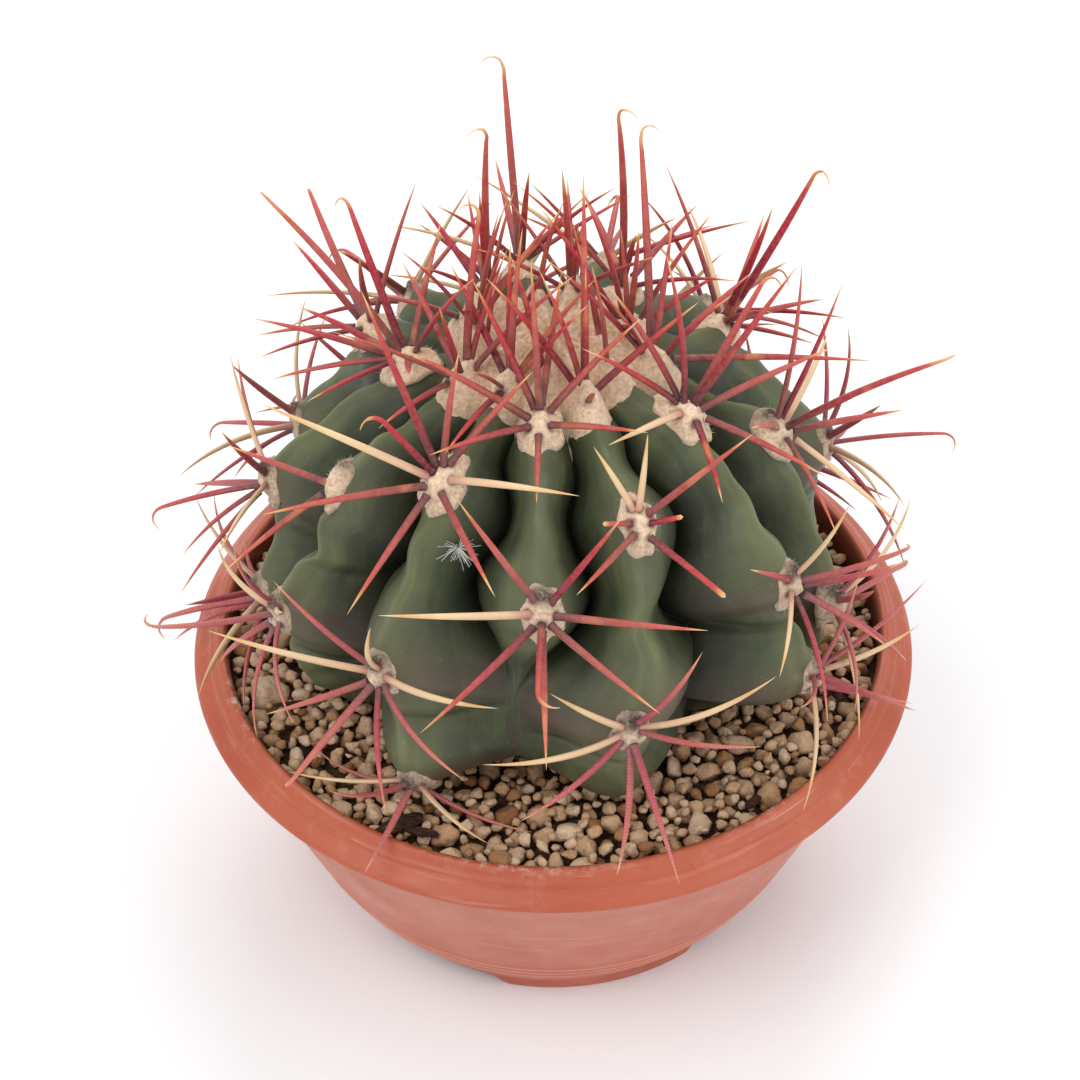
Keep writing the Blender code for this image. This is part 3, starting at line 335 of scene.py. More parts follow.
# Fans of spines. Each spine: (clock, lift, length mm, kind). The clock turns clockwise from
# the way up the rib, as seen from outside, and the lift is the angle off the skin. A spine is
# red where no kind is given, and a stub is a spine that has broken off.
OLD_FAN = (
    (180, 60, 50, "hook"), (176, 28, 44), (130, 26, 50), (-130, 26, 50), (86, 24, 52, "cream"),
    (-86, 24, 52), (40, 26, 46), (-40, 26, 46, "cream"),
)
YOUNG_FAN = (
    (0, 72, 66, "hook"), (8, 42, 54), (50, 36, 50), (-48, 38, 50), (100, 28, 46), (-100, 28, 46),
    (170, 22, 40),
)
CROWN_FAN = ((5, 70, 58), (55, 40, 46), (-60, 40, 46), (165, 24, 34))
FANS = {
    -5: ((14, 61, 75), (-40, 40, 50), (80, 35, 46)),
    -3: ((-35, 57, 62, "hook"), (20, 40, 50), (-90, 35, 44), (160, 20, 34)),
    -2: ((59, 47, 83, "hook"), (160, 9, 72), (-10, 40, 52), (120, 30, 44)),
    -1: ((2, 76, 76, "hook"), (-60, 40, 50), (60, 40, 50), (180, 40, 40)),
    0: (
        (-8, 50, 50), (2, 27, 48), (-36, 38, 48), (-82, 20, 48), (52, 22, 44), (-118, 26, 40),
        (104, 22, 36), (176, 8, 28),
    ),
    1: ((-3, 70, 84, "hook"), (-30, 42, 52), (70, 36, 50), (120, 28, 46), (-90, 28, 44), (180, 30, 44)),
    2: (
        (-154, 80, 82, "hook"), (-93, 57, 63, "hook"), (-168, 38, 50), (-138, 20, 46), (176, 18, 42),
        (-60, 30, 46), (20, 40, 54), (75, 30, 46), (140, 22, 36),
    ),
    3: (
        (-2, 62, 60), (78, 43, 57, "hook"), (88, 62, 60), (120, 36, 50), (-6, 34, 48), (-32, 24, 42),
        (-75, 10, 38, "cream"), (-134, 12, 36), (172, 14, 46),
    ),
    4: (
        (4, 82, 80, "hook"), (0, 45, 54), (45, 36, 50), (-45, 36, 50), (90, 28, 46, "cream"),
        (-90, 28, 46), (180, 45, 48),
    ),
    5: (
        (0, 42, 42), (-43, 38, 64), (-68, 56, 37, "hook"), (-95, 34, 62, "cream"), (22, 12, 42),
        (-130, 24, 55), (76, 10, 48, "cream"), (-176, 8, 48), (124, 8, 44),
    ),
    6: (
        (-28, 86, 72, "hook"), (-31, 65, 58), (27, 42, 60), (120, 38, 50), (-62, 34, 48),
        (84, 30, 48, "cream"), (-90, 28, 44), (170, 26, 42),
    ),
    7: (
        (-117, 55, 65, "hook"), (-140, 40, 54), (-40, 40, 52), (166, 26, 40), (30, 40, 50),
        (100, 28, 46),
    ),
    8: (
        (10, 45, 30, "cream"), (67, 34, 45), (-26, 30, 28, "cream"), (-114, 12, 30),
        (-80, 30, 14, "stub"), (96, 28, 12, "stub"), (148, 18, 34, "stub"),
    ),
    10: ((-112, 36, 38), (-178, 24, 42)),
    11: (
        (173, 86, 72, "hook"), (140, 36, 44), (-162, 20, 50, "cream"), (-118, 18, 44), (8, 50, 64),
        (40, 58, 54), (-56, 25, 40), (90, 22, 44, "cream"),
    ),
    13: (
        (180, 66, 45, "hook"), (176, 38, 48), (-131, 30, 52), (123, 30, 48), (-85, 30, 54, "cream"),
        (89, 24, 54), (-34, 26, 48), (45, 22, 42),
    ),
    16: (
        (72, 64, 46, "hook"), (-100, 26, 40, "cream"), (-134, 34, 46), (-48, 12, 34),
        (10, 44, 42, "cream"), (150, 24, 42), (110, 26, 44),
    ),
    18: (
        (-165, 57, 51, "hook"), (-32, 32, 51), (16, 34, 38, "cream"), (-74, 36, 56, "cream"),
        (73, 10, 52, "cream"), (-124, 24, 40), (134, 40, 44), (106, 18, 46),
    ),
    19: (
        (-119, 76, 52, "hook"), (-130, 14, 52), (-88, 20, 46, "cream"), (56, 22, 44), (8, 26, 44),
        (128, 22, 44), (-40, 22, 44), (176, 24, 42, "cream"),
    ),
    21: (
        (172, 58, 50), (-104, 27, 46), (-86, 10, 50, "cream"), (-48, 6, 34, "cream"), (26, 22, 45),
        (50, 30, 58, "cream"), (68, 46, 48), (-160, 40, 44),
    ),
    23: (
        (-4, 86, 53, "hook"), (168, 8, 42), (-92, 12, 42, "cream"), (-150, 24, 38), (0, 30, 36),
        (48, 16, 36, "cream"), (110, 16, 40),
    ),
    24: (
        (97, 30, 43, "hook"), (-40, 30, 42), (20, 26, 44), (66, 24, 46, "cream"), (-92, 20, 46),
        (160, 24, 42), (-140, 22, 44, "cream"),
    ),
    29: (
        (-38, 62, 50), (50, 30, 48), (-122, 24, 48, "cream"), (156, 30, 38), (14, 18, 44),
        (92, 28, 46, "cream"), (-62, 18, 36),
    ),
    31: (
        (15, 57, 43), (62, 12, 44, "cream"), (-16, 18, 40), (-80, 26, 42, "cream"), (-128, 30, 42),
        (128, 26, 42),
    ),
}


def smooth(value, low, high):
    share = np.clip((value - low) / (high - low), 0.0, 1.0)
    return share * share * (3 - 2 * share)


def plateau(value, low, high, end, over):
    """0, then 1 from high to end, and 0 again from over on."""
    return smooth(value, low, high) * (1 - smooth(value, end, over))


def bell(away, width):
    """1 at no distance, falling off smoothly over about this width."""
    return np.exp(-((away / width) ** 2))


def crest_outline():
    """Radius, height and length from the top of a plain rib's crest, top to root."""
    top = np.linspace(0.0, math.pi / 2, CREST_POINTS)
    base = np.linspace(0.0, BASE_END_ANGLE, BASE_POINTS)[1:]
    root = np.array(ROOT)
    crown, low = 2 / CROWN_SQUARENESS, 2 / BASE_SQUARENESS
    radius = (STEM_RADIUS * np.sin(top) ** crown, STEM_RADIUS * np.cos(base) ** low, root[:, 0])
    rise = CROWN_RISE * np.maximum(np.cos(top), 0.0) ** crown
    height = (WAIST_Z + rise, WAIST_Z - BASE_DROP * np.sin(base) ** low, root[:, 1])
    radius, height = np.concatenate(radius), np.concatenate(height)
    steps = np.hypot(np.diff(radius), np.diff(height))
    return radius, height, np.concatenate(([0.0], np.cumsum(steps)))


CREST_R, CREST_Z, CREST_S = crest_outline()
STEM_END_S = float(CREST_S[-1])


def crest(s):
    return np.interp(s, CREST_S, CREST_R), np.interp(s, CREST_S, CREST_Z)


def crest_normal(s, reach=0.002):
    """The outline's outward normal, as its radial and its vertical share."""
    above = crest(s - reach)
    below = crest(s + reach)
    run, fall = below[0] - above[0], below[1] - above[1]
    length = np.hypot(run, fall)
    return -fall / length, run / length


def areole_s(number):
    """How far down its rib the areole of this age lies."""
    if number >= 0:
        return FIRST_AREOLE_S + AREOLE_STEP_S * number + AREOLE_SHIFTS.get(number, 0) / 1000
    return FIRST_AREOLE_S * math.exp(CROWN_CROWDING * number)


def areole_rib(number):
    return TURN_RIBS * number % RIBS


def rib_phase(rib, s):
    """0 at each areole of the rib, growing to 1 at the next one below."""
    first = next(n for n in range(RIB_INTERVAL) if areole_rib(n) == rib)
    turns = range(-3, 5)
    places = [areole_s(first + RIB_INTERVAL * turn) for turn in turns]
    return np.interp(s, places, turns) % 1.0


def rib_azimuth(rib, s):
    leans = CREST_LEANS.get(rib, ((0.0, 0.0),))
    lean = np.interp(s, [at for at, _ in leans], [turn for _, turn in leans])
    return FIRST_RIB_AZIMUTH + rib * RIB_STEP + np.radians(lean)


def rib_weight(rib, s):
    """How wide a rib is beside its neighbours: widest at its areoles."""
    swing = WIDTH_SWING * plateau(s, 0.02, 0.06, 0.20, 0.225)
    weight = 1 + swing * np.cos(2 * math.pi * (rib_phase(rib, s) + 0.04))
    if rib == FADING_RIB:
        weight = weight * (1 - FADE_WIDTH * smooth(s, FADE_START, FADE_END))
    return weight


def crest_relief(rib, s):
    """How far the crest stands out of the plain outline: a swelling that carries each areole,
    and the chin below it."""
    phase = rib_phase(rib, s)
    scale = plateau(s, 0.015, 0.07, 0.205, 0.225)
    if rib == FADING_RIB:
        scale = scale * (1 - smooth(s, FADE_START, FADE_END))
    swell = TUBERCLE_SWELL * np.cos(2 * math.pi * (phase + 0.05))
    return scale * (swell - CHIN_DEPTH * bell(phase - 0.17, 0.085))


def flank_azimuth(rib, s, share):
    """Azimuth of the line that runs down a flank: share is 0 on the crest, 1 or -1 in a furrow."""
    other = (rib + (1 if share > 0 else -1)) % RIBS
    here = rib_azimuth(rib, s)
    there = rib_azimuth(other, s)
    way = (there - here + math.pi) % (2 * math.pi) - math.pi
    own = rib_weight(rib, s)
    part = own / (own + rib_weight(other, s))
    return here + way * part * abs(share)


def flank_depth(rib, s, share):
    """How deep a flank lies below the plain outline: 0 on a crest, up to 1 in a furrow. One rib
    sinks to its furrows' depth as it fades, and the furrows beside it fill up."""
    blunt = CREST_BLUNTNESS + BLUNT_RIBS.get(rib, 0.0)
    blunt = blunt + AREOLE_BLUNTNESS * np.cos(math.pi * rib_phase(rib, s)) ** 2
    depth = (np.sqrt(share * share + blunt * blunt) - blunt) / (np.sqrt(1 + blunt * blunt) - blunt)
    fade = smooth(s, FADE_START, FADE_END)
    if rib == FADING_RIB:
        return (depth + (1 - depth) * fade) * (1 - FADE_FILL * fade)
    if rib == (FADING_RIB + 1) % RIBS:
        return depth * (1 - FADE_FILL * fade * max(-share, 0.0))
    if rib == (FADING_RIB - 1) % RIBS:
        return depth * (1 - FADE_FILL * fade * max(share, 0.0))
    return depth


def stem_point(rib, s, share, swell=0.0):
    """A point of the skin. swell moves it out, along the outline's normal."""
    radius, height = crest(s)
    out, up = crest_normal(s)
    buried = 1 - smooth(s, 0.215, 0.245)
    furrow = FURROW_SHARE * radius * buried * flank_depth(rib, s, share)
    relief = crest_relief(rib, s) * (1 - share * share) ** 2
    offset = relief - furrow + swell
    azimuth = flank_azimuth(rib, s, share)
    reach = np.maximum(radius + offset * out, 0.0)
    return np.array((reach * np.sin(azimuth), -reach * np.cos(azimuth), height + offset * up))


def furrow_point(rib, s, swell=0.0):
    """The furrow after a rib, as the mean of what its two flanks say."""
    own = stem_point(rib, s, 1.0, swell)
    other = stem_point((rib + 1) % RIBS, s, -1.0, swell)
    return (own + other) / 2


def plain_skin(swell):
    """The part's own plain stem, a little swollen, that the spines keep clear of."""
    body = np.linspace(0.036, 0.236, STEM_ROWS - len(TOP_ROWS) - ROOT_ROWS)
    form = bmesh.new()
    rings = []
    for s in (*TOP_ROWS, *body, *np.linspace(0.246, STEM_END_S, ROOT_ROWS)):
        ring = []
        for rib, share in product(range(RIBS), FLANK_SHARES):
            at = furrow_point(rib, s, swell) if share == 1.0 else stem_point(rib, s, share, swell)
            ring.append(form.verts.new(at))
        rings.append(ring)
    apex = form.verts.new((0.0, 0.0, CREST_Z[0] + swell))
    tip = form.verts.new((0.0, 0.0, CREST_Z[-1] - ROOT_TIP - swell))
    count = len(rings[0])
    for index in range(count):
        after = (index + 1) % count
        form.faces.new((apex, rings[0][index], rings[0][after]))
        form.faces.new((tip, rings[-1][after], rings[-1][index]))
        for above, below in zip(rings, rings[1:]):
            form.faces.new((above[index], below[index], below[after], above[after]))
    bmesh.ops.triangulate(form, faces=form.faces[:])
    bmesh.ops.recalc_face_normals(form, faces=form.faces[:])
    tree = BVHTree.FromBMesh(form)
    form.free()
    return tree


class Areole:
    """The seat of one fan of spines: where it lies and which ways are out, down and across."""

    def __init__(self, number):
        self.number = number
        rib, s = areole_rib(number), areole_s(number)
        azimuth = float(rib_azimuth(rib, s))
        out, up = crest_normal(s)
        outward = np.array((math.sin(azimuth), -math.cos(azimuth), 0.0))
        self.place = stem_point(rib, s, 0.0)
        self.normal = outward * out + UPWARD * up
        self.down = outward * up - UPWARD * out
        self.across = np.cross(-self.down, self.normal)

    def direction(self, clock, lift):
        flat = self.across * math.sin(clock) - self.down * math.cos(clock)
        return flat * math.cos(lift) + self.normal * math.sin(lift)


def levelled(root, way, length):
    """The way of a low spine, turned up until its tip lies over the gravel or the rim."""
    tip = root + way * length
    reach = math.hypot(tip[0], tip[1])
    floor = FLOOR_OVER_GRAVEL if reach < GRAVEL_EDGE_RADIUS - LEVEL_MARGIN else FLOOR_OVER_RIM
    climb = (floor + LEVEL_MARGIN - root[2]) / length
    if way[2] >= climb or reach > OVER_TABLE_RADIUS + 4 * LEVEL_MARGIN:
        return way
    flat = math.hypot(way[0], way[1])
    share = math.sqrt(1 - climb * climb) / flat
    return np.array((way[0] * share, way[1] * share, climb))


class Spine:
    """One spine: a bent, tapering thorn that may end in a hook."""

    def __init__(self, areole, clock, lift, length, kind, random):
        self.number = areole.number
        self.group = max(areole.number, -1)
        self.kind = kind
        self.length = length
        self.radius = SPINE_ROOT_RADIUS * (0.72 + 0.28 * min(length / 0.05, 1.2))
        flat = areole.direction(clock, 0.0)
        aside = math.sin(clock) * math.cos(lift)
        seat = areole.across * aside * SPINE_SEAT_WIDTH * PAD_WIDTHS.get(areole.number, 1.0)
        seat = seat - areole.down * math.cos(clock) * math.cos(lift) * SPINE_SEAT_LENGTH
        rise = SPINE_SEAT_HEIGHT - SPINE_SEAT_FALL * aside * aside
        self.root = areole.place + seat + areole.normal * rise
        self.way = levelled(self.root, areole.direction(clock, lift), length)
        self.bend_to = -areole.normal * math.cos(lift) + flat * math.sin(lift)
        old = smooth(areole.number, 10, 18) if kind != "hook" else 0.0
        self.bend = SPINE_BEND * (0.4 + random.random()) * (1 + OLD_SPINE_BEND * old)
        self.bend_start = BEND_START + OLD_BEND_START * old
        self.hook = HOOK_ANGLE if kind == "hook" else 0.0
        self.hook_start = 1 - min(MOST_OF_A_HOOK, HOOK_LENGTH / length)
        side = 0.8 if math.sin(clock) >= 0 else -0.8
        curl_to = areole.across * side + areole.down * (0.3 if lift > 1.0 else 1.0)
        self.hook_to = curl_to if kind == "hook" else self.bend_to


def unit(rows):
    return rows / (np.linalg.norm(rows, axis=-1, keepdims=True) + 1e-12)


def square_to(rows, ways):
    return unit(rows - ways * np.sum(rows * ways, axis=-1, keepdims=True))


def column(spines, key):
    """One value of each spine, in a column beside the points along it."""
    return np.array([getattr(spine, key) for spine in spines])[:, None]


def spine_lines(spines, pushes):
    """Points along the middle of each spine, from root to tip."""
    ways = unit(column(spines, "way") + pushes[:, None])
    bend_to = square_to(column(spines, "bend_to"), ways)
    hook_to = square_to(column(spines, "hook_to"), ways)
    share = ((np.arange(SPINE_POINTS - 1) + 0.5) / (SPINE_POINTS - 1))[None]
    bend = column(spines, "bend") * (share - column(spines, "bend_start"))
    curl = column(spines, "hook") * smooth(share, column(spines, "hook_start"), 1.0)
    steps = np.cos(bend + curl)[..., None] * ways
    steps = steps + np.sin(bend)[..., None] * bend_to + np.sin(curl)[..., None] * hook_to
    steps = unit(steps) * column(spines, "length")[..., None] / (SPINE_POINTS - 1)
    roots = column(spines, "root")
    return np.concatenate((roots, roots + np.cumsum(steps, axis=1)), axis=1)


def spine_radii(radius):
    share = np.arange(SPINE_POINTS) / (SPINE_POINTS - 1)
    return radius * (1 - share**SPINE_TAPER)


def fan_of(number, random):
    """Clock, lift, length and kind of each spine of a fan."""
    rule = CROWN_FAN if number < 0 else YOUNG_FAN if number < FIRST_OLD else OLD_FAN
    spines = []
    for clock, lift, length, *kind in FANS.get(number, rule):
        if number not in FANS:
            clock += random.uniform(-9, 9)
            lift += random.uniform(-6, 6)
            length *= random.uniform(0.88, 1.08)
        spines.append((math.radians(clock), math.radians(lift), length / 1000, kind[0] if kind else "red"))
    return spines


def all_areoles():
    numbers = [n for n in range(YOUNGEST, OLDEST + 1) if n != MISSING_AREOLE]
    return [Areole(number) for number in numbers]


def all_buds():
    """The areoles over the youngest whole ones, with one spine each."""
    return [Areole(number) for number in range(YOUNGEST - 1, YOUNGEST - 1 - BUDS, -1)]


def all_spines(areoles, buds):
    """Every spine, with the ones above the first areole in one group, the crown's."""
    random = np.random.RandomState(SEED)
    spines = []
    for areole in areoles:
        for clock, lift, length, kind in fan_of(areole.number, random):
            spines.append(Spine(areole, clock, lift, length, kind, random))
    for bud in buds:
        clock = math.radians(random.uniform(-60, 60))
        lift = math.radians(random.uniform(62, 84))
        length = random.uniform(0.024, 0.050)
        spines.append(Spine(bud, clock, lift, length, "red", random))
    return spines


def kd_tree(points):
    tree = KDTree(len(points))
    for index, point in enumerate(points):
        tree.insert(point, index)
    tree.balance()
    return tree


def push_from(pushes, spines, number, index, shift):
    """Turns a spine so that its point at this index moves by about this much."""
    reach = spines[number].length * max(index / (SPINE_POINTS - 1), 0.25)
    pushes[number] += shift / reach


def part_spines(spines, lines, pushes):
    """Turns spines of different fans away from each other. Returns how many places touched."""
    points = lines.reshape(-1, 3)
    tree = kd_tree(points)
    radii = np.concatenate([spine_radii(spine.radius) for spine in spines])
    margin = CLEARANCE + SAMPLING_SLACK
    touching = 0
    for here, point in enumerate(points):
        number, index = divmod(here, SPINE_POINTS)
        if index == 0:
            continue
        for _, there, distance in tree.find_range(point, radii[here] + SPINE_ROOT_RADIUS + margin):
            other, at = divmod(there, SPINE_POINTS)
            wanted = radii[here] + radii[there] + margin
            same = spines[other].group == spines[number].group
            if other <= number or same or at == 0 or distance >= wanted:
                continue
            touching += 1
            way = unit(point - points[there] + 1e-7) * (wanted - distance) * RELAX_SHARE
            push_from(pushes, spines, number, index, way)
            push_from(pushes, spines, other, at, -way)
    return touching


def lift_spines(spines, lines, pushes, areoles, skin):
    """Turns spines off the skin, the gravel, the rim and other fans' pads."""
    seats = np.array([areole.place for areole in areoles])
    seat_groups = np.array([max(areole.number, -1) for areole in areoles])
    touching = 0
    for number, spine in enumerate(spines):
        radii = spine_radii(spine.radius)
        line = lines[number]
        across = np.hypot(line[:, 0], line[:, 1])
        floor = np.where(across < GRAVEL_EDGE_RADIUS, FLOOR_OVER_GRAVEL, FLOOR_OVER_RIM)
        floor = np.where(across > OVER_TABLE_RADIUS, 0.0, floor) + radii
        shifts = np.zeros((SPINE_POINTS, 3))
        shifts[:, 2] = np.maximum(floor - line[:, 2], 0.0)
        ways = line[:, None] - seats[None, seat_groups != spine.group]
        distances = np.linalg.norm(ways, axis=2)
        near = np.maximum(PAD_KEEP_OUT - distances, 0.0)
        shifts += np.sum(unit(ways) * near[..., None], axis=1)
        for index in range(FREE_ROOT_POINTS, SPINE_POINTS):
            nearest, normal = skin.find_nearest(Vector(line[index]), 0.02)[:2]
            if nearest is None:
                continue
            away = np.array(normal)
            depth = np.dot(line[index] - np.array(nearest), away) - radii[index] - CLEARANCE
            if depth < 0:
                shifts[index] -= away * depth
        for index in range(FREE_ROOT_POINTS, SPINE_POINTS):
            if shifts[index].any():
                touching += 1
                push_from(pushes, spines, number, index, shifts[index] * RELAX_SHARE)
    return touching


def relaxed_lines(spines, areoles, skin):
    """The spines' lines once each has turned clear of what it would touch."""
    pushes = np.zeros((len(spines), 3))
    for _ in range(RELAX_ROUNDS):
        lines = spine_lines(spines, pushes)
        touching = part_spines(spines, lines, pushes)
        touching += lift_spines(spines, lines, pushes, areoles, skin)
        size = np.linalg.norm(pushes, axis=1, keepdims=True)
        pushes *= np.minimum(1.0, MOST_PUSH / np.maximum(size, 1e-9))
        if not touching:
            break
    return spine_lines(spines, pushes)


def wall_radius(z):
    """Outer radius of the bowl's wall between its foot and its rim."""
    rise = (z - FLOOR_TOP_Z) / (WALL_TOP_Z - FLOOR_TOP_Z)
    return FOOT_RADIUS + (WALL_TOP_RADIUS - FOOT_RADIUS) * rise**WALL_BELLY


def grid_faces(rows, columns):
    """Quads between rows of points that each close round."""
    row, column = np.meshgrid(np.arange(rows - 1), np.arange(columns), indexing="ij")
    here = row * columns + column
    beside = row * columns + (column + 1) % columns
    return np.stack((here, here + columns, beside + columns, beside), axis=-1).reshape(-1, 4)


def loop_faces(rows, columns):
    """The same, with the last row joined to the first."""
    return grid_faces(rows + 1, columns) % (rows * columns)


def cap_faces(first, columns, centre, outward=True):
    """Triangles from one point to a closed row of points."""
    column = np.arange(columns)
    after = (column + 1) % columns
    sides = (column, after) if outward else (after, column)
    return np.stack((np.full(columns, centre), first + sides[0], first + sides[1]), axis=-1)


def closed_faces(rows, columns, inward=False):
    """A grid with a cap at each end. Its points are followed by the middles of the two caps."""
    last = rows * columns
    below = cap_faces(last - columns, columns, last + 1, outward=False)
    faces = (grid_faces(rows, columns), cap_faces(0, columns, last), below)
    return [part[:, ::-1] for part in faces] if inward else faces


def linked(name, data):
    """A new object in the scene."""
    made = bpy.data.objects.new(name, data)
    bpy.context.scene.collection.objects.link(made)
    return made


def mesh_of(name, form):
    mesh = bpy.data.meshes.new(name)
    form.to_mesh(mesh)
    form.free()
    return mesh


class Cloud:
    """Points, faces and values of a mesh that is put together from many pieces."""

    def __init__(self):
        self.points = []
        self.faces = []
        self.values = {}
        self.count = 0

    def add(self, points, faces, **values):
        points = np.asarray(points, float)
        for part in faces:
            self.faces += (np.asarray(part) + self.count).tolist()
        self.points.append(points)
        for name, value in values.items():
            column = np.broadcast_to(np.asarray(value, float), (len(points),))
            self.values.setdefault(name, []).append(column)
        self.count += len(points)

    def piece(self, name, material, slot, *replaced):
        """The mesh as a piece of the scene that rides on the plant."""
        mesh = bpy.data.meshes.new(name)
        mesh.from_pydata(np.concatenate(self.points).tolist(), [], self.faces)
        for key, parts in self.values.items():
            attribute = mesh.attributes.new(key, "FLOAT", "POINT")
            attribute.data.foreach_set("value", np.concatenate(parts).astype(np.float32))
        mesh.shade_smooth()
        mesh.materials.append(material)
        piece = linked(name, mesh)
        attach(piece, "root")
        if replaced:
            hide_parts(*replaced)
        return piece


def rgb(red, green, blue):
    """A display colour, 0 to 255, as a linear one."""
    shares = (red / 255, green / 255, blue / 255)
    return (*(c / 12.92 if c <= 0.04045 else ((c + 0.055) / 1.055) ** 2.4 for c in shares), 1.0)


class Look:
    """A node material and short ways to wire it. Its base colour is built up coat by coat."""

    def __init__(self, name, roughness, specular=0.5, **fixed):
        self.material = bpy.data.materials.new(name)
        self.material.use_nodes = True
        self.tree = self.material.node_tree
        self.shader = self.tree.nodes["Principled BSDF"]
        self.put(self.shader.inputs["Roughness"], roughness)
        self.put(self.shader.inputs["Specular IOR Level"], specular)
        for key, value in fixed.items():
            self.put(self.shader.inputs[key.replace("_", " ")], value)
        self.place = self.node("TexCoord").outputs["Object"]
        self.base = None

    def node(self, kind, **settings):
        made = self.tree.nodes.new("ShaderNode" + kind)
        for key, value in settings.items():
            setattr(made, key, value)
        return made

    def put(self, socket, value):
        if isinstance(value, bpy.types.NodeSocket):
            self.tree.links.new(value, socket)
        else:
            socket.default_value = value

    def value(self, name):
        return self.node("Attribute", attribute_name=name).outputs["Fac"]

    def height(self):
        parts = self.node("SeparateXYZ")
        self.put(parts.inputs[0], self.place)
        return parts.outputs["Z"]

    def stretched(self, x, y, z, vector=None):
        """The place on the object with each axis scaled."""
        made = self.node("Mapping")
        self.put(made.inputs["Vector"], vector or self.place)
        made.inputs["Scale"].default_value = (x, y, z)
        return made.outputs["Vector"]

    def noise(self, scale, detail=3.0, rough=0.55, vector=None):
        made = self.node("TexNoise")
        self.put(made.inputs["Vector"], vector or self.place)
        for key, value in zip(("Scale", "Detail", "Roughness"), (scale, detail, rough)):
            made.inputs[key].default_value = value
        return made.outputs["Fac"]

    def cells(self, scale):
        made = self.node("TexVoronoi")
        self.put(made.inputs["Vector"], self.place)
        made.inputs["Scale"].default_value = scale
        return made.outputs["Distance"]

    def sum(self, operation, one, two):
        made = self.node("Math", operation=operation)
        self.put(made.inputs[0], one)
        self.put(made.inputs[1], two)
        return made.outputs[0]

    def both(self, one, two):
        return self.sum("MULTIPLY", one, two)

    def span(self, value, low, high, start=0.0, end=1.0):
        """The value between low and high, spread over start to end."""
        made = self.node("MapRange")
        keys = ("Value", "From Min", "From Max", "To Min", "To Max")
        for key, what in zip(keys, (value, low, high, start, end)):
            self.put(made.inputs[key], what)
        return made.outputs["Result"]

    def patches(self, low, high, scale, detail=3.0, rough=0.55, ends=(0.0, 1.0)):
        """Noise between low and high, spread over the two ends."""
        return self.span(self.noise(scale, detail, rough), low, high, *ends)

    def ramp(self, share, *stops):
        """Colours along a value: (place, red, green, blue)."""
        made = self.node("ValToRGB")
        self.put(made.inputs["Fac"], share)
        marks = made.color_ramp.elements
        while len(marks) < len(stops):
            marks.new(0.5)
        for mark, (at, *colour) in zip(marks, stops):
            mark.position = at
            mark.color = rgb(*colour)
        return made.outputs["Color"]

    def mix(self, share, one, two, blend="MIX"):
        made = self.node("Mix", data_type="RGBA", blend_type=blend)
        for socket, value in zip((made.inputs["Factor"], *made.inputs[6:8]), (share, one, two)):
            self.put(socket, value)
        return made.outputs[2]

    def coat(self, colour, mask, most=None, blend="MIX"):
        """Lays a colour over the base where the mask says, at most this thick."""
        share = mask if most is None else self.both(mask, most)
        coat = rgb(*colour) if isinstance(colour, tuple) else colour
        self.base = self.mix(share, self.base, coat, blend)

    def done(self, *bumps, rough=None):
        """The material, with bumps one over another: (height, strength, distance)."""
        self.put(self.shader.inputs["Base Color"], self.base)
        if rough:
            self.put(self.shader.inputs["Roughness"], rough)
        below = None
        for height, strength, distance in bumps:
            made = self.node("Bump")
            self.put(made.inputs["Height"], height)
            made.inputs["Strength"].default_value = strength
            made.inputs["Distance"].default_value = distance
            if below:
                self.put(made.inputs["Normal"], below)
            below = made.outputs["Normal"]
        if below:
            self.put(self.shader.inputs["Normal"], below)
        return self.material


def stem_look():
    """Streaks along the ribs, dust, scuffs and specks, a flush on old skin, a painted highlight on the
    crests and painted shade in the folds and furrows.
    """
    look = Look("cactus_skin", 0.5, 0.38)
    flow = look.node("CombineXYZ")
    look.put(flow.inputs[0], look.value("around"))
    look.put(flow.inputs[1], look.value("down"))
    streaks = look.noise(1.0, 4.0, vector=look.stretched(150, 26, 1, flow.outputs[0]))
    greens = ((0.30, 54, 60, 46), (0.50, 72, 78, 58), (0.66, 92, 98, 66), (0.80, 124, 128, 80))
    look.base = look.ramp(streaks, *greens)
    look.coat((90, 104, 68), look.patches(0.42, 0.66, 34), 0.45)
    look.coat((74, 84, 74), look.patches(0.5, 0.72, 55, 2.0), 0.35)
    look.coat((92, 66, 62), look.value("flush"), look.patches(0.3, 0.6, 60, 2.0, ends=(0.45, 1.0)))
    # Painted highlight: a paler line along each rib's crest
    look.coat((140, 150, 112), look.value("crest"), 0.45)
    # Painted shade: dark lines in the folds and along the edges of the furrows
    look.coat((38, 43, 34), look.value("crease_shade"), 0.8)
    look.coat((170, 176, 158), look.patches(0.62, 0.78, 420, 6.0, 0.7), 0.22)
    scuffs = look.both(look.patches(0.63, 0.72, 46, 5.0, 0.75), look.patches(0.5, 0.7, 700))
    look.coat((180, 186, 170), scuffs, 0.55)
    specks = look.both(look.span(look.cells(330), 0.09, 0.03), look.patches(0.5, 0.62, 50))
    look.coat((190, 192, 176), specks, 0.45)
    # Painted highlight on the crests and upper flanks, and painted shade deepening down into the furrows
    look.coat((136, 138, 96), look.span(look.value("deep"), 0.0, 0.36, 0.26, 0.0))
    look.coat((98, 98, 84), look.span(look.value("deep"), 0.2, 0.9, 0.0, 0.92), blend="MULTIPLY")
    rough = look.patches(0.3, 0.7, 120, 4.0, ends=(0.40, 0.60))
    return look.done((look.noise(900), 0.25, 0.0003), (look.noise(170), 0.35, 0.0009), rough=rough)


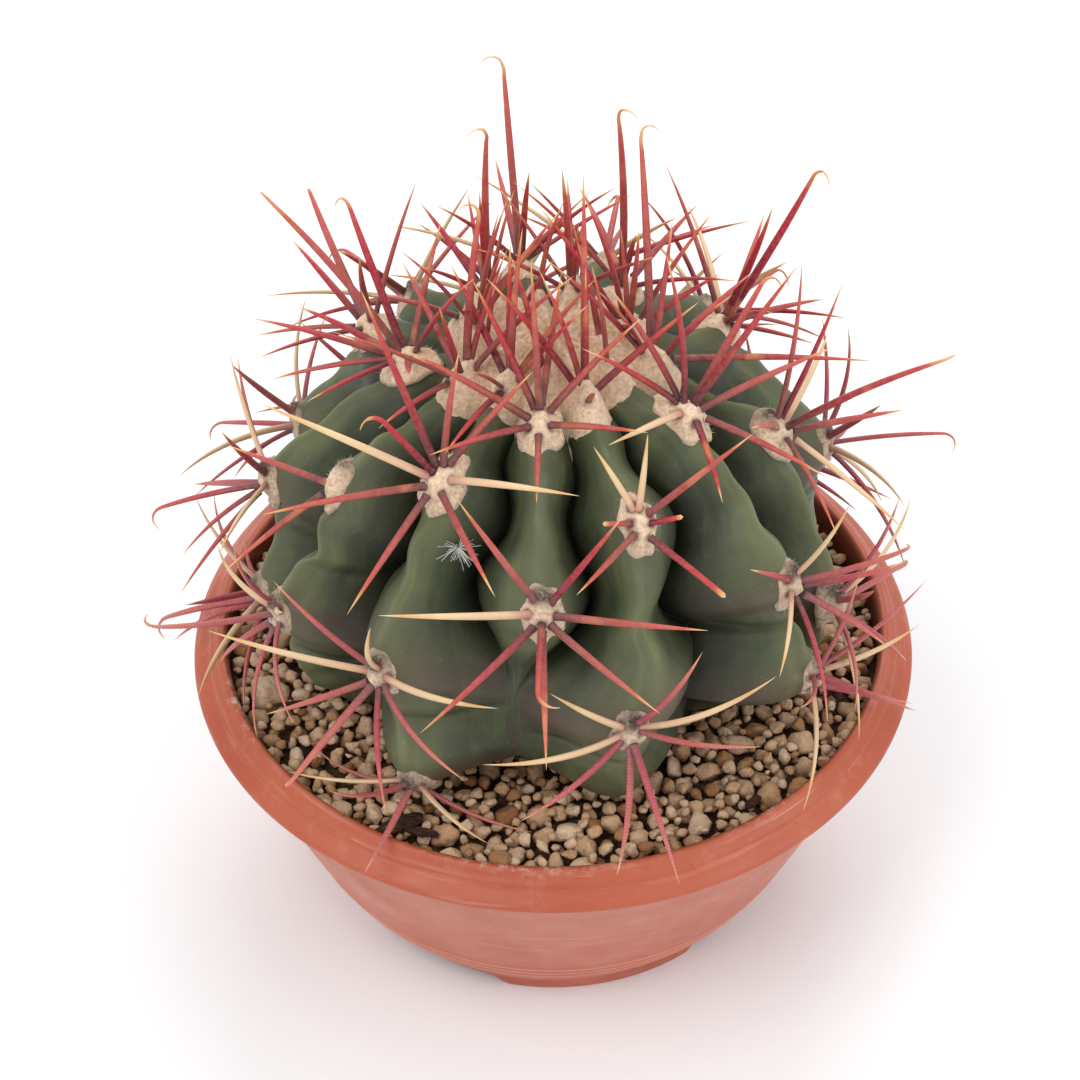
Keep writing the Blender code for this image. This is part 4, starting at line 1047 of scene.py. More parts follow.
def spine_look():
    """Horn that is dark at its root and pale at its tip, ringed and washed out with age."""
    look = Look("spine_horn", 0.42, 0.3)
    along = look.sum("ADD", look.value("along"), look.patches(0.3, 0.7, 90, 2.0, ends=(-0.05, 0.05)))
    reds = ((0.0, 84, 42, 52), (0.10, 110, 24, 44), (0.30, 148, 16, 42), (0.62, 176, 26, 50))
    tips = ((0.80, 190, 62, 56), (0.88, 216, 156, 96), (1.0, 238, 208, 158))
    young = look.ramp(along, *reds, *tips)
    roses = ((0.0, 140, 92, 100), (0.15, 176, 72, 90), (0.50, 188, 76, 92))
    old = look.ramp(along, *roses, (0.84, 206, 122, 112), (1.0, 228, 190, 156))
    straws = ((0.0, 190, 140, 122), (0.15, 224, 188, 152), (0.60, 232, 204, 158))
    straw = look.ramp(along, *straws, (0.85, 226, 176, 116), (1.0, 238, 214, 170))
    look.base = look.mix(look.value("age"), young, old)
    bands = look.both(look.patches(0.60, 0.68, 70, 1.0), look.value("bands"))
    look.coat((222, 138, 84), bands, 0.6)
    look.coat(straw, look.value("pale"))
    rings = look.both(look.span(look.value("ring"), -0.2, 1.0, 0.0, 0.42), look.value("age"))
    look.coat((112, 40, 48), rings, blend="MULTIPLY")
    look.coat((240, 190, 170), look.patches(0.35, 0.7, 600, ends=(0.0, 0.10)))
    rough = look.patches(0.3, 0.7, 300, ends=(0.34, 0.52))
    ridges = (look.value("ring"), 0.25, 0.00008)
    return look.done(ridges, (look.noise(1500, 2.0), 0.2, 0.0001), rough=rough)


def felt_look():
    """Felt: cream when young, greyer with age, dried up dark in places, with dark reddish painted shade in
    the pits round the spines' roots.
    """
    look = Look("areole_felt", 0.95, 0.1, Sheen_Weight=0.35)
    fluff = look.noise(700, 5.0, 0.65)
    young = look.ramp(fluff, (0.30, 200, 166, 134), (0.52, 234, 206, 176), (0.75, 250, 234, 212))
    old = look.ramp(fluff, (0.30, 150, 124, 106), (0.50, 206, 180, 156), (0.75, 234, 214, 192))
    dust = ((0.35, 52, 45, 42), (0.55, 96, 86, 80), (0.72, 168, 152, 138))
    look.base = look.mix(look.value("age"), young, old)
    look.coat(look.ramp(look.noise(900, 4.0), *dust), look.value("dry"))
    # Painted shade: a dark reddish ring in the pit round each spine's root
    look.coat((96, 48, 44), look.value("socket"), 0.9)
    return look.done((look.noise(1400, 4.0, 0.7), 0.6, 0.0004), (look.noise(420), 0.5, 0.0008))


def pumice_look():
    """Porous stones from cream to tan, stained and grainy, with painted shade in their pores and low down
    between them.
    """
    look = Look("pumice", 0.95, 0.15)
    browns = ((0.0, 140, 98, 66), (0.16, 172, 130, 94), (0.34, 200, 164, 130))
    look.base = look.ramp(look.value("pick"), *browns, (0.70, 218, 188, 158), (1.0, 230, 204, 178))
    look.coat((150, 108, 70), look.patches(0.50, 0.70, 120, 4.0, 0.6), 0.55)
    grains = ((0.3, 120, 104, 86), (0.55, 200, 190, 176), (0.8, 250, 246, 236))
    look.coat(look.ramp(look.noise(1500, 4.0, 0.7), *grains), 0.35, blend="OVERLAY")
    pores = look.both(look.span(look.cells(620), 0.20, 0.08), look.patches(0.45, 0.6, 260, 2.0))
    # Painted shade in the pores: the small hollows that the bump dents are darkened
    look.coat((84, 62, 44), pores, 0.8)
    # Painted shade low down in the gravel, between the stones
    look.coat((120, 84, 56), look.span(look.height(), 0.1075, 0.1010), 0.4, "MULTIPLY")
    crumbs = (look.noise(1100, 5.0, 0.7), 0.9, 0.0005)
    return look.done((pores, -0.9, 0.0006), crumbs, (look.noise(300), 0.8, 0.0012))


def humus_look(name="humus", roughness=0.9):
    """Dark, crumbly growing mix."""
    look = Look(name, roughness, 0.2)
    browns = ((0.30, 34, 24, 18), (0.50, 70, 49, 36), (0.66, 108, 78, 55), (0.80, 150, 118, 88))
    look.base = look.ramp(look.noise(520, 6.0, 0.7), *browns)
    look.coat((70, 46, 32), look.span(look.cells(300), 0.45, 0.1), 0.4)
    return look.done((look.noise(900, 6.0, 0.7), 0.9, 0.0007), (look.noise(260, 4.0), 0.8, 0.0015))


def bark_look():
    look = Look("bark", 0.9, 0.2)
    grain = look.noise(1.0, 5.0, 0.7, look.stretched(200, 900, 900))
    look.base = look.ramp(grain, (0.3, 34, 24, 20), (0.55, 70, 48, 38), (0.75, 132, 98, 74))
    return look.done((grain, 0.8, 0.0006), (look.noise(900, 4.0), 0.5, 0.0004))


def seed_look():
    """A brown seed with white hairs."""
    look = Look("seed_hair", 0.8, 0.2)
    white = look.ramp(look.noise(600), (0.3, 240, 240, 234), (0.7, 252, 252, 248))
    look.base = rgb(96, 70, 48)
    look.coat(white, look.value("pale"))
    return look.done()


def pot_look():
    """Plastic with a cleaner rim, a paler wall that is partly dust and partly painted sheen, painted shade
    inside, painted highlight on the ring lines, scratches, dirt specks and lime on the lip.
    """
    look = Look("terracotta_plastic", 0.45, 0.5)
    height = look.height()
    rim = ((0.3, 168, 76, 49), (0.55, 178, 85, 56), (0.8, 188, 95, 66))
    wall = ((0.3, 180, 102, 80), (0.6, 192, 116, 94), (0.85, 202, 132, 110))
    foot = ((0.3, 176, 88, 64), (0.6, 188, 98, 74), (0.85, 196, 112, 88))
    # The wall is paler and pinker than the rim: partly dust, partly a painted sheen that reflects the white
    # floor. It gives way to the foot's ramp lower down.
    look.base = look.ramp(look.noise(26, 4.0), *wall)
    look.coat(look.ramp(look.noise(22, 4.0), *foot), look.span(height, 0.078, 0.030))
    look.base = look.mix(look.span(height, 0.1055, 0.1010), look.ramp(look.noise(18, 4.0), *rim), look.base)
    # Painted highlight on the fine raised ring lines over the foot
    look.coat((226, 170, 150), look.value("line"), 0.6)
    streaks = look.noise(1.0, 5.0, 0.65, look.stretched(16, 16, 330))
    look.coat((224, 172, 152), look.span(streaks, 0.56, 0.76, 0.0, 0.30))
    look.coat((222, 170, 150), look.patches(0.54, 0.76, 75, 6.0, 0.7, (0.0, 0.22)))
    scratches = look.noise(1.0, 2.0, 0.5, look.stretched(30, 30, 2600))
    look.coat((232, 196, 180), look.span(scratches, 0.70, 0.74, 0.0, 0.5))
    dirt = look.both(look.span(look.cells(170), 0.085, 0.03), look.patches(0.42, 0.5, 40, 2.0))
    look.coat((104, 58, 44), dirt, 0.8)
    # Painted shade: the inside of the bowl darker
    look.coat((120, 62, 46), look.value("inner"), 0.75)
    look.coat((226, 204, 188), look.both(look.patches(0.50, 0.64, 240, 6.0, 0.8), look.value("lip")), 0.8)
    turned = (look.noise(1.0, 3.0, 0.5, look.stretched(60, 60, 900)), 0.12, 0.0003)
    rough = look.patches(0.3, 0.7, 60, 5.0, ends=(0.36, 0.56))
    return look.done(turned, (look.noise(420, 4.0), 0.1, 0.0003), rough=rough)


def floor_look():
    look = Look("studio_floor", 0.9, 0.2)
    look.base = look.ramp(look.noise(2.2), (0.3, 240, 244, 247), (0.7, 244, 248, 250))
    return look.done()


def lumps(place, *waves):
    """Uneven height at a place: (how fine, how tall) for each size of lump."""
    return sum(noise.noise(place * fine) * tall for fine, tall in waves)


def crest_wander(rib, s):
    """How far the crest's line strays round the stem, in metres. It is on the line at each areole."""
    still = np.sin(math.pi * rib_phase(rib, s)) ** 2
    size = CREST_WANDERS.get(rib, CREST_WANDER)
    waves = np.sin(s / 0.0053 + 2.1 * rib) + 0.6 * np.sin(s / 0.0031 + 4.7 * rib)
    return size * still * waves * smooth(s, 0.05, 0.08) * (1 - smooth(s, 0.2, 0.23))


def fold_lines(rib):
    """The lengths at which an old rib folds, below each of its areoles."""
    numbers = [n for n in range(FIRST_FOLD, OLDEST + 1) if areole_rib(n) == rib and n != MISSING_AREOLE]
    return [(areole_s(n) + FOLD_DROP, n) for n in numbers]


def furrow_sharpness(rib, s, share):
    """1 in a plain furrow; it falls to 0 beside the end of the rib that fades."""
    beside = {FADING_RIB: True, (FADING_RIB + 1) % RIBS: share < 0, (FADING_RIB - 1) % RIBS: share > 0}
    if beside.get(rib, False):
        return 1 - smooth(s, FADE_START + 0.01, FADE_END - 0.006)
    return np.ones_like(s)


def skin_detail(rib, s, share):
    """How far the fine skin stands out from the plain rule, and how much painted shade lies in its folds.
    """
    rise = PLAIN_CRESTS.get(rib, 1.0) * CREST_RIDGE * bell(share, 0.03) * smooth(s, 0.03, 0.06)
    furrow = FURROW_CREASE * furrow_sharpness(rib, s, share)
    rise = rise - furrow * bell(1 - abs(share), 0.07) * smooth(s, 0.02, 0.05)
    crease_shade = np.zeros_like(s)
    inside = (1 - abs(share) ** 6) * min(1.0, abs(share) / 0.12 + 0.4)
    for at, number in fold_lines(rib):
        side = FOLD_WIDTH if share > 0 else -FOLD_WIDTH
        line = at - FOLD_SLANT * abs(share) + 0.0016 * math.sin(7 * share + number) + side
        fold = inside * bell(s - line, FOLD_WIDTH)
        bulge = inside * bell(s - line + BULGE_OVER_FOLD, BULGE_WIDTH)
        rise = rise - FOLD_DEPTH * fold + BULGE_HEIGHT * bulge
        crease_shade = np.maximum(crease_shade, fold)
    return rise, crease_shade


def skin_column(rib, s, share):
    """One line down the fine skin: its points, with the values that its colours need."""
    rise, crease_shade = skin_detail(rib, s, share)
    points = furrow_point(rib, s, rise) if abs(share) == 1.0 else stem_point(rib, s, share, rise)
    radius = np.maximum(np.hypot(points[0], points[1]), 0.004)
    turn = crest_wander(rib, s) * (1 - share * share) / radius
    x = points[0] * np.cos(turn) - points[1] * np.sin(turn)
    y = points[0] * np.sin(turn) + points[1] * np.cos(turn)
    phase = rib_phase(rib, s)
    # Painted shade along the edges of the furrows
    furrow_shade = 0.55 * bell(1 - abs(share), 0.035) * smooth(s, 0.03, 0.06) * furrow_sharpness(rib, s, share)
    # Where the painted highlight runs along the crest, and how strongly on each rib
    crest_highlight = PLAIN_CRESTS.get(rib, 1.0) * bell(share, 0.045) * smooth(s, 0.05, 0.08)
    flush = bell(np.minimum(phase, 1 - phase), 0.17) * smooth(s, 0.085, 0.155) * (1 - 0.4 * abs(share))
    # How deep the flank lies, which sets the painted highlight near the crest and the painted shade in the
    # furrow
    deep = flank_depth(rib, s, share) * smooth(s, 0.02, 0.06)
    around = np.full_like(s, (rib + share * 0.5) * 0.05)
    values = (crest_highlight, np.maximum(crease_shade, furrow_shade), flush, around, s, deep)
    return np.stack((x, y, points[2], *values), axis=-1)


def rough_skin(points):
    """Uneven places of the skin: wide swells and small dents."""
    moved = points.copy()
    for index, point in enumerate(points):
        out = Vector((point[0], point[1], 0.6 * (point[2] - 0.12))).normalized()
        moved[index] = Vector(point) + out * lumps(Vector(point), *SKIN_LUMPS)
    return moved


def make_stem(material):
    body = np.arange(SKIN_TOP_S, SKIN_LOW_S, SKIN_ROW_STEP)
    s = np.concatenate((body, np.linspace(SKIN_LOW_S, STEM_END_S, SKIN_ROOT_ROWS)))
    shares = [-share for share in reversed(SKIN_SHARES)] + [0.0, *SKIN_SHARES, 1.0]
    columns = [skin_column(rib, s, share) for rib in range(RIBS) for share in shares]
    grid = np.stack(columns, axis=1).reshape(-1, 3 + len(SKIN_VALUES))
    ends = ((0.0, 0.0, CREST_Z[0]), (0.0, 0.0, CREST_Z[-1] - ROOT_TIP))
    points = np.vstack((rough_skin(grid[:, :3]), ends))
    values = np.vstack((grid, grid[0], grid[-1])).T[3:]
    cloud = Cloud()
    cloud.add(points, closed_faces(len(s), len(columns)), **dict(zip(SKIN_VALUES, values)))
    return cloud.piece("stem_body", material, "stem_skin", "stem")


def tree_of(piece):
    points = [vert.co.copy() for vert in piece.data.vertices]
    return BVHTree.FromPolygons(points, [tuple(face.vertices) for face in piece.data.polygons])


def curve_points(line, shares):
    """Points on a smooth curve through a line's points."""
    ends = np.vstack((2 * line[0] - line[1], line, 2 * line[-1] - line[-2]))
    place = shares * (len(line) - 1)
    index = np.minimum(place.astype(int), len(line) - 2)
    t = (place - index)[:, None]
    before, here, after, later = ends[index], ends[index + 1], ends[index + 2], ends[index + 3]
    bend = 2 * before - 5 * here + 4 * after - later
    twist = 3 * here - before - 3 * after + later
    return 0.5 * (2 * here + (after - before) * t + bend * t * t + twist * t * t * t)


def clock_of(line, areole):
    """Which way a spine points now, as a clock on its areole."""
    way = line[len(line) // 2] - line[0]
    return math.atan2(float(way @ areole.across), float(-(way @ areole.down)))


def spine_taper(shares, kind):
    """How thick a spine is along its length, as a share of its root."""
    if kind == "hook":
        return 1 - (shares / 1.02) ** 3.4
    if kind == "stub":
        return 1 - 0.25 * shares
    return 1 - shares**SPINE_TAPER


def add_spine(cloud, spine, line, areole, random):
    """One ringed, flattened spine, with its broad side to the skin."""
    age = float(smooth(areole.number, 10, 24))
    pale = 1.0 if spine.kind == "cream" else float(random.uniform(0, 0.14))
    bands = float(random.uniform(0, 1) * (1 - age))
    rows = max(int(spine.length / RING_STEP), FEWEST_RINGS)
    shares = np.linspace(0.0, STUB_END if spine.kind == "stub" else SPINE_END, rows)
    middle = curve_points(line, shares)
    ways = unit(np.gradient(middle, axis=0))
    broad = square_to(areole.direction(clock_of(line, areole) + math.pi / 2, 0.0), ways)
    thin = np.cross(ways, broad)
    ring = np.where(np.arange(rows) % 2 == 0, 1.0, -1.0) * plateau(shares, 0.02, 0.1, 0.8, 0.97)
    depth = (RING_DEPTH + OLD_RING_DEPTH * age) * (1 - 0.8 * pale)
    size = spine.radius * SPINE_FULLNESS * np.maximum(spine_taper(shares, spine.kind), 0.03)
    size = size * (1 + depth * ring) * (1 + ROOT_SWELL * bell(shares, 0.035))
    turns = 2 * math.pi * (np.arange(SPINE_SIDES) + 0.5) / SPINE_SIDES
    spread = broad[:, None] * np.cos(turns)[None, :, None]
    spread = spread + thin[:, None] * np.sin(turns)[None, :, None] * SPINE_FLATNESS
    points = (middle[:, None] + spread * size[:, None, None]).reshape(-1, 3)
    points = np.vstack((points, middle[0], middle[-1] + ways[-1] * size[-1]))
    ring = np.append(np.repeat(ring, SPINE_SIDES), (0.0, 0.0)) * (1 - pale)
    along = np.append(np.repeat(shares, SPINE_SIDES), (0.0, 1.0))
    faces = closed_faces(rows, SPINE_SIDES)
    cloud.add(points, faces, along=along, ring=ring, age=age, pale=pale, bands=bands)


def more_spines(areole, random):
    """Finer spines of a young areole, beside the ones that the source has, each with its line."""
    spines = []
    for number in range(EXTRA_SPINES):
        clock = 2 * math.pi * (number + random.uniform(0.1, 0.9)) / EXTRA_SPINES
        lift = math.radians(random.uniform(44, 74))
        spine = Spine(areole, clock, lift, random.uniform(0.032, 0.056), "red", random)
        spine.radius *= EXTRA_SPINE_SIZE
        spines.append(spine)
    return list(zip(spines, spine_lines(spines, np.zeros((EXTRA_SPINES, 3)))))


def drop_on(skin, point, way, reach=0.03):
    """Where a point falls on the skin, coming from outside."""
    hit = skin.ray_cast(Vector(point + way * reach), Vector(-way), 2 * reach)
    return np.array(hit[0]) if hit[0] else np.array(point)


def pad_outline(turn, clocks):
    """How far the felt reaches on this side: it bulges round each spine's root."""
    count = len(clocks)
    reach = 0.90 + 0.04 * math.sin(3 * turn + 5 * count) + 0.05 * math.sin(5 * turn + 2 * count)
    gaps = [(turn - clock + math.pi) % (2 * math.pi) - math.pi for clock in clocks]
    return reach + sum(ROOT_BULGE * bell(gap, ROOT_BULGE_ANGLE) for gap in gaps)


def add_pad(cloud, areole, lines, skin, random):
    """An oval of felt that hugs the crest, with a pit round each spine's root."""
    clocks = [clock_of(line, areole) for line in lines]
    roots = [curve_points(line, np.array((PAD_ROOT_SHARE,)))[0] for line in lines]
    old, dried = (float(smooth(areole.number, *ages)) for ages in ((6, 20), (7, 12)))
    half_width = (PAD_HALF_WIDTH - 0.0014 * old) * PAD_WIDTHS.get(areole.number, 1.0)
    half_length = PAD_HALF_LENGTH - 0.0010 * old
    points, values = [], []
    for ring, side in product(range(1, PAD_RINGS + 1), range(PAD_SIDES)):
        share, turn = ring / PAD_RINGS, 2 * math.pi * side / PAD_SIDES
        reach = pad_outline(turn, clocks) * share
        across, up = reach * math.sin(turn) * half_width, reach * math.cos(turn) * half_length
        flat = areole.place + areole.across * across - areole.down * up
        ground = drop_on(skin, flat, areole.normal)
        below = float((flat - ground) @ areole.normal)
        ground = ground + areole.normal * max(0.0, below - DEEPEST_FELT)
        inner = 1 - share**6
        nub = dried * bell(up - NUB_PLACE * half_length, NUB_LENGTH) * bell(across, NUB_WIDTH)
        uneven = lumps(Vector(flat), *PAD_LUMPS) + nub * (NUB_HEIGHT + lumps(Vector(flat), NUB_LUMPS))
        tall = PAD_FELT * (1 - share**3.0) ** 0.75 - (PAD_HEM if ring == PAD_RINGS else 0.0)
        point = ground + areole.normal * (tall + uneven * inner)
        near = min((np.linalg.norm(point - root) for root in roots), default=1.0)
        # The pit round each root, which is also where the painted shade is laid
        pit = math.exp(-((near / PAD_PIT) ** 4))
        points.append(point - areole.normal * pit * PIT_DEPTH * inner)
        values.append((pit, min(1.0, nub * 1.25)))
    top = drop_on(skin, areole.place, areole.normal) + areole.normal * PAD_FELT
    points = np.vstack((points, top, areole.place - areole.normal * PAD_DEPTH))
    socket, dry = np.transpose([*values, (0.0, 0.0), (0.0, 0.0)])
    faces = closed_faces(PAD_RINGS, PAD_SIDES, inward=True)
    cloud.add(points, faces, socket=socket, dry=dry, age=old)
    seats = points[(PAD_RINGS - 5) * PAD_SIDES : (PAD_RINGS - 1) * PAD_SIDES]
    middle = areole.place - areole.normal * 0.004
    add_fuzz(cloud, seats, middle, PAD_HAIRS, PAD_HAIR_LENGTH, old, random)


def add_fuzz(cloud, seats, middle, count, length, age, random):
    """Short hairs that stand out of the felt."""
    points = []
    for pick in random.randint(0, len(seats), count):
        seat = seats[pick] + random.uniform(-0.0004, 0.0004, 3)
        way = unit(unit(seat - middle) + random.uniform(-0.45, 0.45, 3))
        side = unit(np.cross(way, random.uniform(-1, 1, 3)))
        third = np.cross(way, side)
        foot = np.array((side, third - 0.5 * side, -third - 0.5 * side)) * HAIR_SIZE
        tip = seat + way * length * random.uniform(0.5, 1.25)
        points += [*(seat - way * HAIR_ROOT + foot), tip]
    firsts = len(SPIKE_FACES) * np.arange(count)[:, None, None]
    faces = (firsts + np.array(SPIKE_FACES)).reshape(-1, 3)
    cloud.add(points, [faces], socket=0.0, dry=0.0, age=age)


def crown_lobe(number, random):
    """Where a lobe of young felt lies, which ways are across and up, and how high it is."""
    areole = Areole(number)
    across = areole.across[:2] / np.linalg.norm(areole.across[:2])
    up = -areole.down[:2] / np.linalg.norm(areole.down[:2])
    return areole.place, across, up, LOBE_HEIGHT + LOBE_SPREAD * random.uniform(-1, 1)


def crown_height(x, y, lobes):
    """Height of the young felt over the skin: lobes that run together in the middle."""
    middle = CROWN_MIDDLE_HEIGHT * (1 - (math.hypot(x, y) / CROWN_MIDDLE_RADIUS) ** 2)
    total = math.exp(FELT_SHARPNESS * middle)
    for place, across, up, tall in lobes:
        way = (x - place[0], y - place[1])
        u = (way[0] * across[0] + way[1] * across[1]) / LOBE_WIDTH
        v = (way[0] * up[0] + way[1] * up[1]) / LOBE_LENGTH
        far = math.hypot(u, v)
        if far < LOBE_REACH:
            total += math.exp(FELT_SHARPNESS * tall * (1 - far * far))
    return math.log(total + 1e-15) / FELT_SHARPNESS


def make_crown(material, skin, roots, random):
    lobes = [crown_lobe(number, random) for number in range(-1, -1 - CROWN_LOBES, -1)]
    tree = kd_tree(roots)
    points, socket = [], []
    for ring, side in product(range(1, CROWN_RINGS + 1), range(CROWN_SIDES)):
        turn, radius = 2 * math.pi * side / CROWN_SIDES, CROWN_EDGE * ring / CROWN_RINGS
        x, y = radius * math.cos(turn), radius * math.sin(turn)
        ground = drop_on(skin, np.array((x, y, CROWN_DROP_Z)), UPWARD)
        tall = crown_height(x, y, lobes)
        tall += float(smooth(tall, -0.0015, 0.0010)) * lumps(Vector((x, y, 0.2)), *CROWN_LUMPS)
        point = ground + UPWARD * (CROWN_HEM if ring == CROWN_RINGS else tall)
        near = tree.find(point)[2]
        points.append(point)
        # Painted shade round each spine's root; these places are also kept free of hairs
        socket.append(math.exp(-((near / CROWN_PIT) ** 4)))
    open_felt = [point for point, pit in zip(points, socket) if pit < 0.3]
    seats = np.array([p for p in open_felt if crown_height(p[0], p[1], lobes) > 0.0])
    points = np.vstack((points, UPWARD * points[0][2], UPWARD * CROWN_ROOT_Z))
    faces = closed_faces(CROWN_RINGS, CROWN_SIDES)
    cloud = Cloud()
    cloud.add(points, faces, socket=np.append(socket, (0.0, 0.0)), dry=0.0, age=0.0)
    middle = UPWARD * (CROWN_FELT_Z - 0.024)
    add_fuzz(cloud, seats, middle, CROWN_HAIRS, CROWN_HAIR_LENGTH, 0.0, random)
    return cloud.piece("crown_felt", material, "crown_felt", "crown")


def ball(detail):
    """Points and faces of a round ball made of near-equal triangles."""
    form = bmesh.new()
    bmesh.ops.create_icosphere(form, subdivisions=detail, radius=1.0)
    points = np.array([vert.co[:] for vert in form.verts])
    faces = np.array([[vert.index for vert in face.verts] for face in form.faces])
    form.free()
    return points, faces


def turned(angle):
    """A matrix that turns rows of points about the upright axis."""
    c, s = math.cos(angle), math.sin(angle)
    return np.array(((c, s, 0.0), (-s, c, 0.0), (0.0, 0.0, 1.0)))


def random_turn(random):
    """A random rotation matrix."""
    one = unit(random.normal(size=3))
    two = square_to(random.normal(size=3), one)
    return np.stack((one, two, np.cross(one, two)))


def stone_points(ball_points, radius, random):
    """A worn, rounded-angular stone: a ball cut by soft planes, with low lumps."""
    facets = unit(random.normal(size=(STONE_FACETS, 3)))
    depths = random.uniform(0.70, 1.0, STONE_FACETS)
    sharp = random.uniform(7, 13)
    facing = np.maximum(ball_points @ facets.T, 0.0) / depths
    reach = np.minimum((np.sum(facing**sharp, axis=1) + 1e-9) ** (-1 / sharp), 1.25)
    waves = random.normal(size=(STONE_WAVES, 3)) * 5.5
    starts = random.uniform(0, 2 * math.pi, STONE_WAVES)
    reach = reach * (1 + 0.045 * np.sum(np.sin(ball_points @ waves.T + starts), axis=1))
    axes = np.array((1.0, random.uniform(0.72, 0.95), random.uniform(0.62, 0.84)))
    points = ball_points * reach[:, None] * axes
    points = points / np.abs(points).max() * radius * 1.12
    tilt = random_turn(random)
    if random.uniform() < LYING_STONES:
        turn, lean = random.uniform(0, 2 * math.pi), random.uniform(-0.4, 0.4)
        tilt = turned(turn) @ np.roll(turned(lean), (1, 1), (0, 1))
    return points @ tilt


class Heap:
    """Stones at rest, (x, y, z, radius), with the squares of the bowl that they lie in."""

    def __init__(self):
        self.stones = []
        self.squares = {}

    def square(self, x, y):
        return math.floor(x / HEAP_SQUARE), math.floor(y / HEAP_SQUARE)

    def add(self, stone):
        self.stones.append(stone)
        self.squares.setdefault(self.square(*stone[:2]), []).append(stone)

    def height(self, x, y, radius):
        """How high a stone lies here, on the mix or on other stones."""
        z = STONE_BED_Z + 0.8 * radius
        column, row = self.square(x, y)
        for near, beside in product((-1, 0, 1), (-1, 0, 1)):
            for other in self.squares.get((column + near, row + beside), ()):
                apart = math.hypot(x - other[0], y - other[1])
                touch = STONE_TOUCH * (radius + other[3])
                if apart < touch:
                    z = max(z, other[2] + 0.86 * math.sqrt(touch * touch - apart * apart))
        return z


def free_of(skin, place, radius):
    """Whether a stone there is clear of the stem and not inside it."""
    touching = skin.find_nearest(place, radius * 0.93)[0] is not None
    return not touching and skin.ray_cast(place, Vector((0, 0, -1)))[0] is None


def resting_place(heap, skin, radius, small, random):
    """The lowest of a few random places for a stone, or None if it fits in none of them."""
    best = None
    for _ in range(STONE_TRIES):
        reach = math.sqrt(random.uniform(0.13, 1.0)) * (GRAVEL_WALL - radius)
        turn = random.uniform(0, 2 * math.pi)
        x, y = reach * math.cos(turn), reach * math.sin(turn)
        bare = any(math.hypot(x - bx, y - by) < br for bx, by, br in BARE_PLACES)
        if bare and (not small or random.uniform() < 0.7):
            continue
        z = heap.height(x, y, radius)
        if z + 0.82 * radius > STONE_TOP_Z or (best and z >= best[2]):
            continue
        if free_of(skin, Vector((x, y, z)), radius):
            best = (x, y, z, radius)
    return best


def settle(skin, random):
    """Stones poured in, then crumbs between them, each until too many find no place."""
    heap = Heap()
    heap.add(PALE_STONE)
    for small in (False, True):
        missed = 0
        while len(heap.stones) < MOST_STONES and missed <= MOST_MISSES:
            size = random.uniform(*FILLER_SIZES) if small else random.choice(STONE_SIZES, p=STONE_ODDS)
            stone = resting_place(heap, skin, size / 2, small, random)
            missed = 0 if stone else missed + 1
            if stone:
                heap.add(stone)
    return heap.stones


def make_gravel(material, skin, random):
    """Single stones, as one piece for each half of the bowl."""
    fine, coarse = ball(3), ball(2)
    halves = {"pumice_front": Cloud(), "pumice_back": Cloud()}
    for stone in settle(skin, random):
        *place, radius = stone
        front = place[1] < 0
        points, faces = fine if radius > FINE_STONE and place[1] < 0.02 else coarse
        shape = stone_points(points, radius, random) + np.array(place)
        pick = random.uniform(0, 1) ** 0.75
        pick = PALE_STONE_PICK if stone is PALE_STONE else pick
        halves["pumice_front" if front else "pumice_back"].add(shape, [faces], pick=pick)
    for name, cloud in halves.items():
        cloud.piece(name, material, "pumice_gravel", "gravel")


def make_humus(material):
    """The uneven top of the growing mix, seen between the stones."""
    points = []
    for ring, side in product(range(HUMUS_RINGS), range(HUMUS_SIDES)):
        radius = HUMUS_INNER + (HUMUS_OUTER - HUMUS_INNER) * ring / (HUMUS_RINGS - 1)
        turn = 2 * math.pi * side / HUMUS_SIDES
        x, y = radius * math.cos(turn), radius * math.sin(turn)
        z = HUMUS_Z + lumps(Vector((x, y, 0.1)), *HUMUS_LUMPS)
        z += sum(BARE_RISE * bell(math.hypot(x - bx, y - by), br) for bx, by, br in BARE_PLACES)
        points.append((x, y, z))
    floor = [(x, y, SOIL_TOP_Z + GAP) for x, y, _ in points[:HUMUS_SIDES]]
    rim = [(x, y, SOIL_TOP_Z + GAP) for x, y, _ in points[-HUMUS_SIDES:]]
    cloud = Cloud()
    cloud.add(floor + points + rim, [loop_faces(HUMUS_RINGS + 2, HUMUS_SIDES)[:, ::-1]])
    return cloud.piece("humus", material, "growing_mix", "gravel")


def make_bark(material, random):
    cloud = Cloud()
    points, faces = ball(3)
    for place, size, shares, degrees in BARK_BITS:
        waves = random.normal(size=(3, 4)) * 5
        rough = 1 + 0.05 * np.sin(points @ waves).sum(axis=1, keepdims=True)
        bit = points * rough * np.array(shares) * size
        cloud.add(bit @ turned(math.radians(degrees)) + np.array(place), [faces])
    return cloud.piece("bark_bits", material, "growing_mix")


def add_seed_hair(cloud, middle, normal, random):
    way = unit(normal * random.uniform(-0.1, 0.9) + random.uniform(-1, 1, 3))
    length = random.uniform(0.0035, 0.0085)
    line = middle + np.outer((0.0, 0.33, 0.66, 1.0), way) * length
    line = line + np.outer((0.0, 0.1, 0.4, 1.0), random.uniform(-0.0012, 0.0012, 3))
    side = square_to(random.normal(size=3), way)
    third = np.cross(way, side)
    corners = np.array((side, -0.5 * side + 0.87 * third, -0.5 * side - 0.87 * third)) * SEED_HAIR_SIZE
    hair = (line[:, None] + corners[None]).reshape(-1, 3)
    cloud.add(np.vstack((hair, line[0], line[-1])), closed_faces(len(line), 3), pale=1.0)


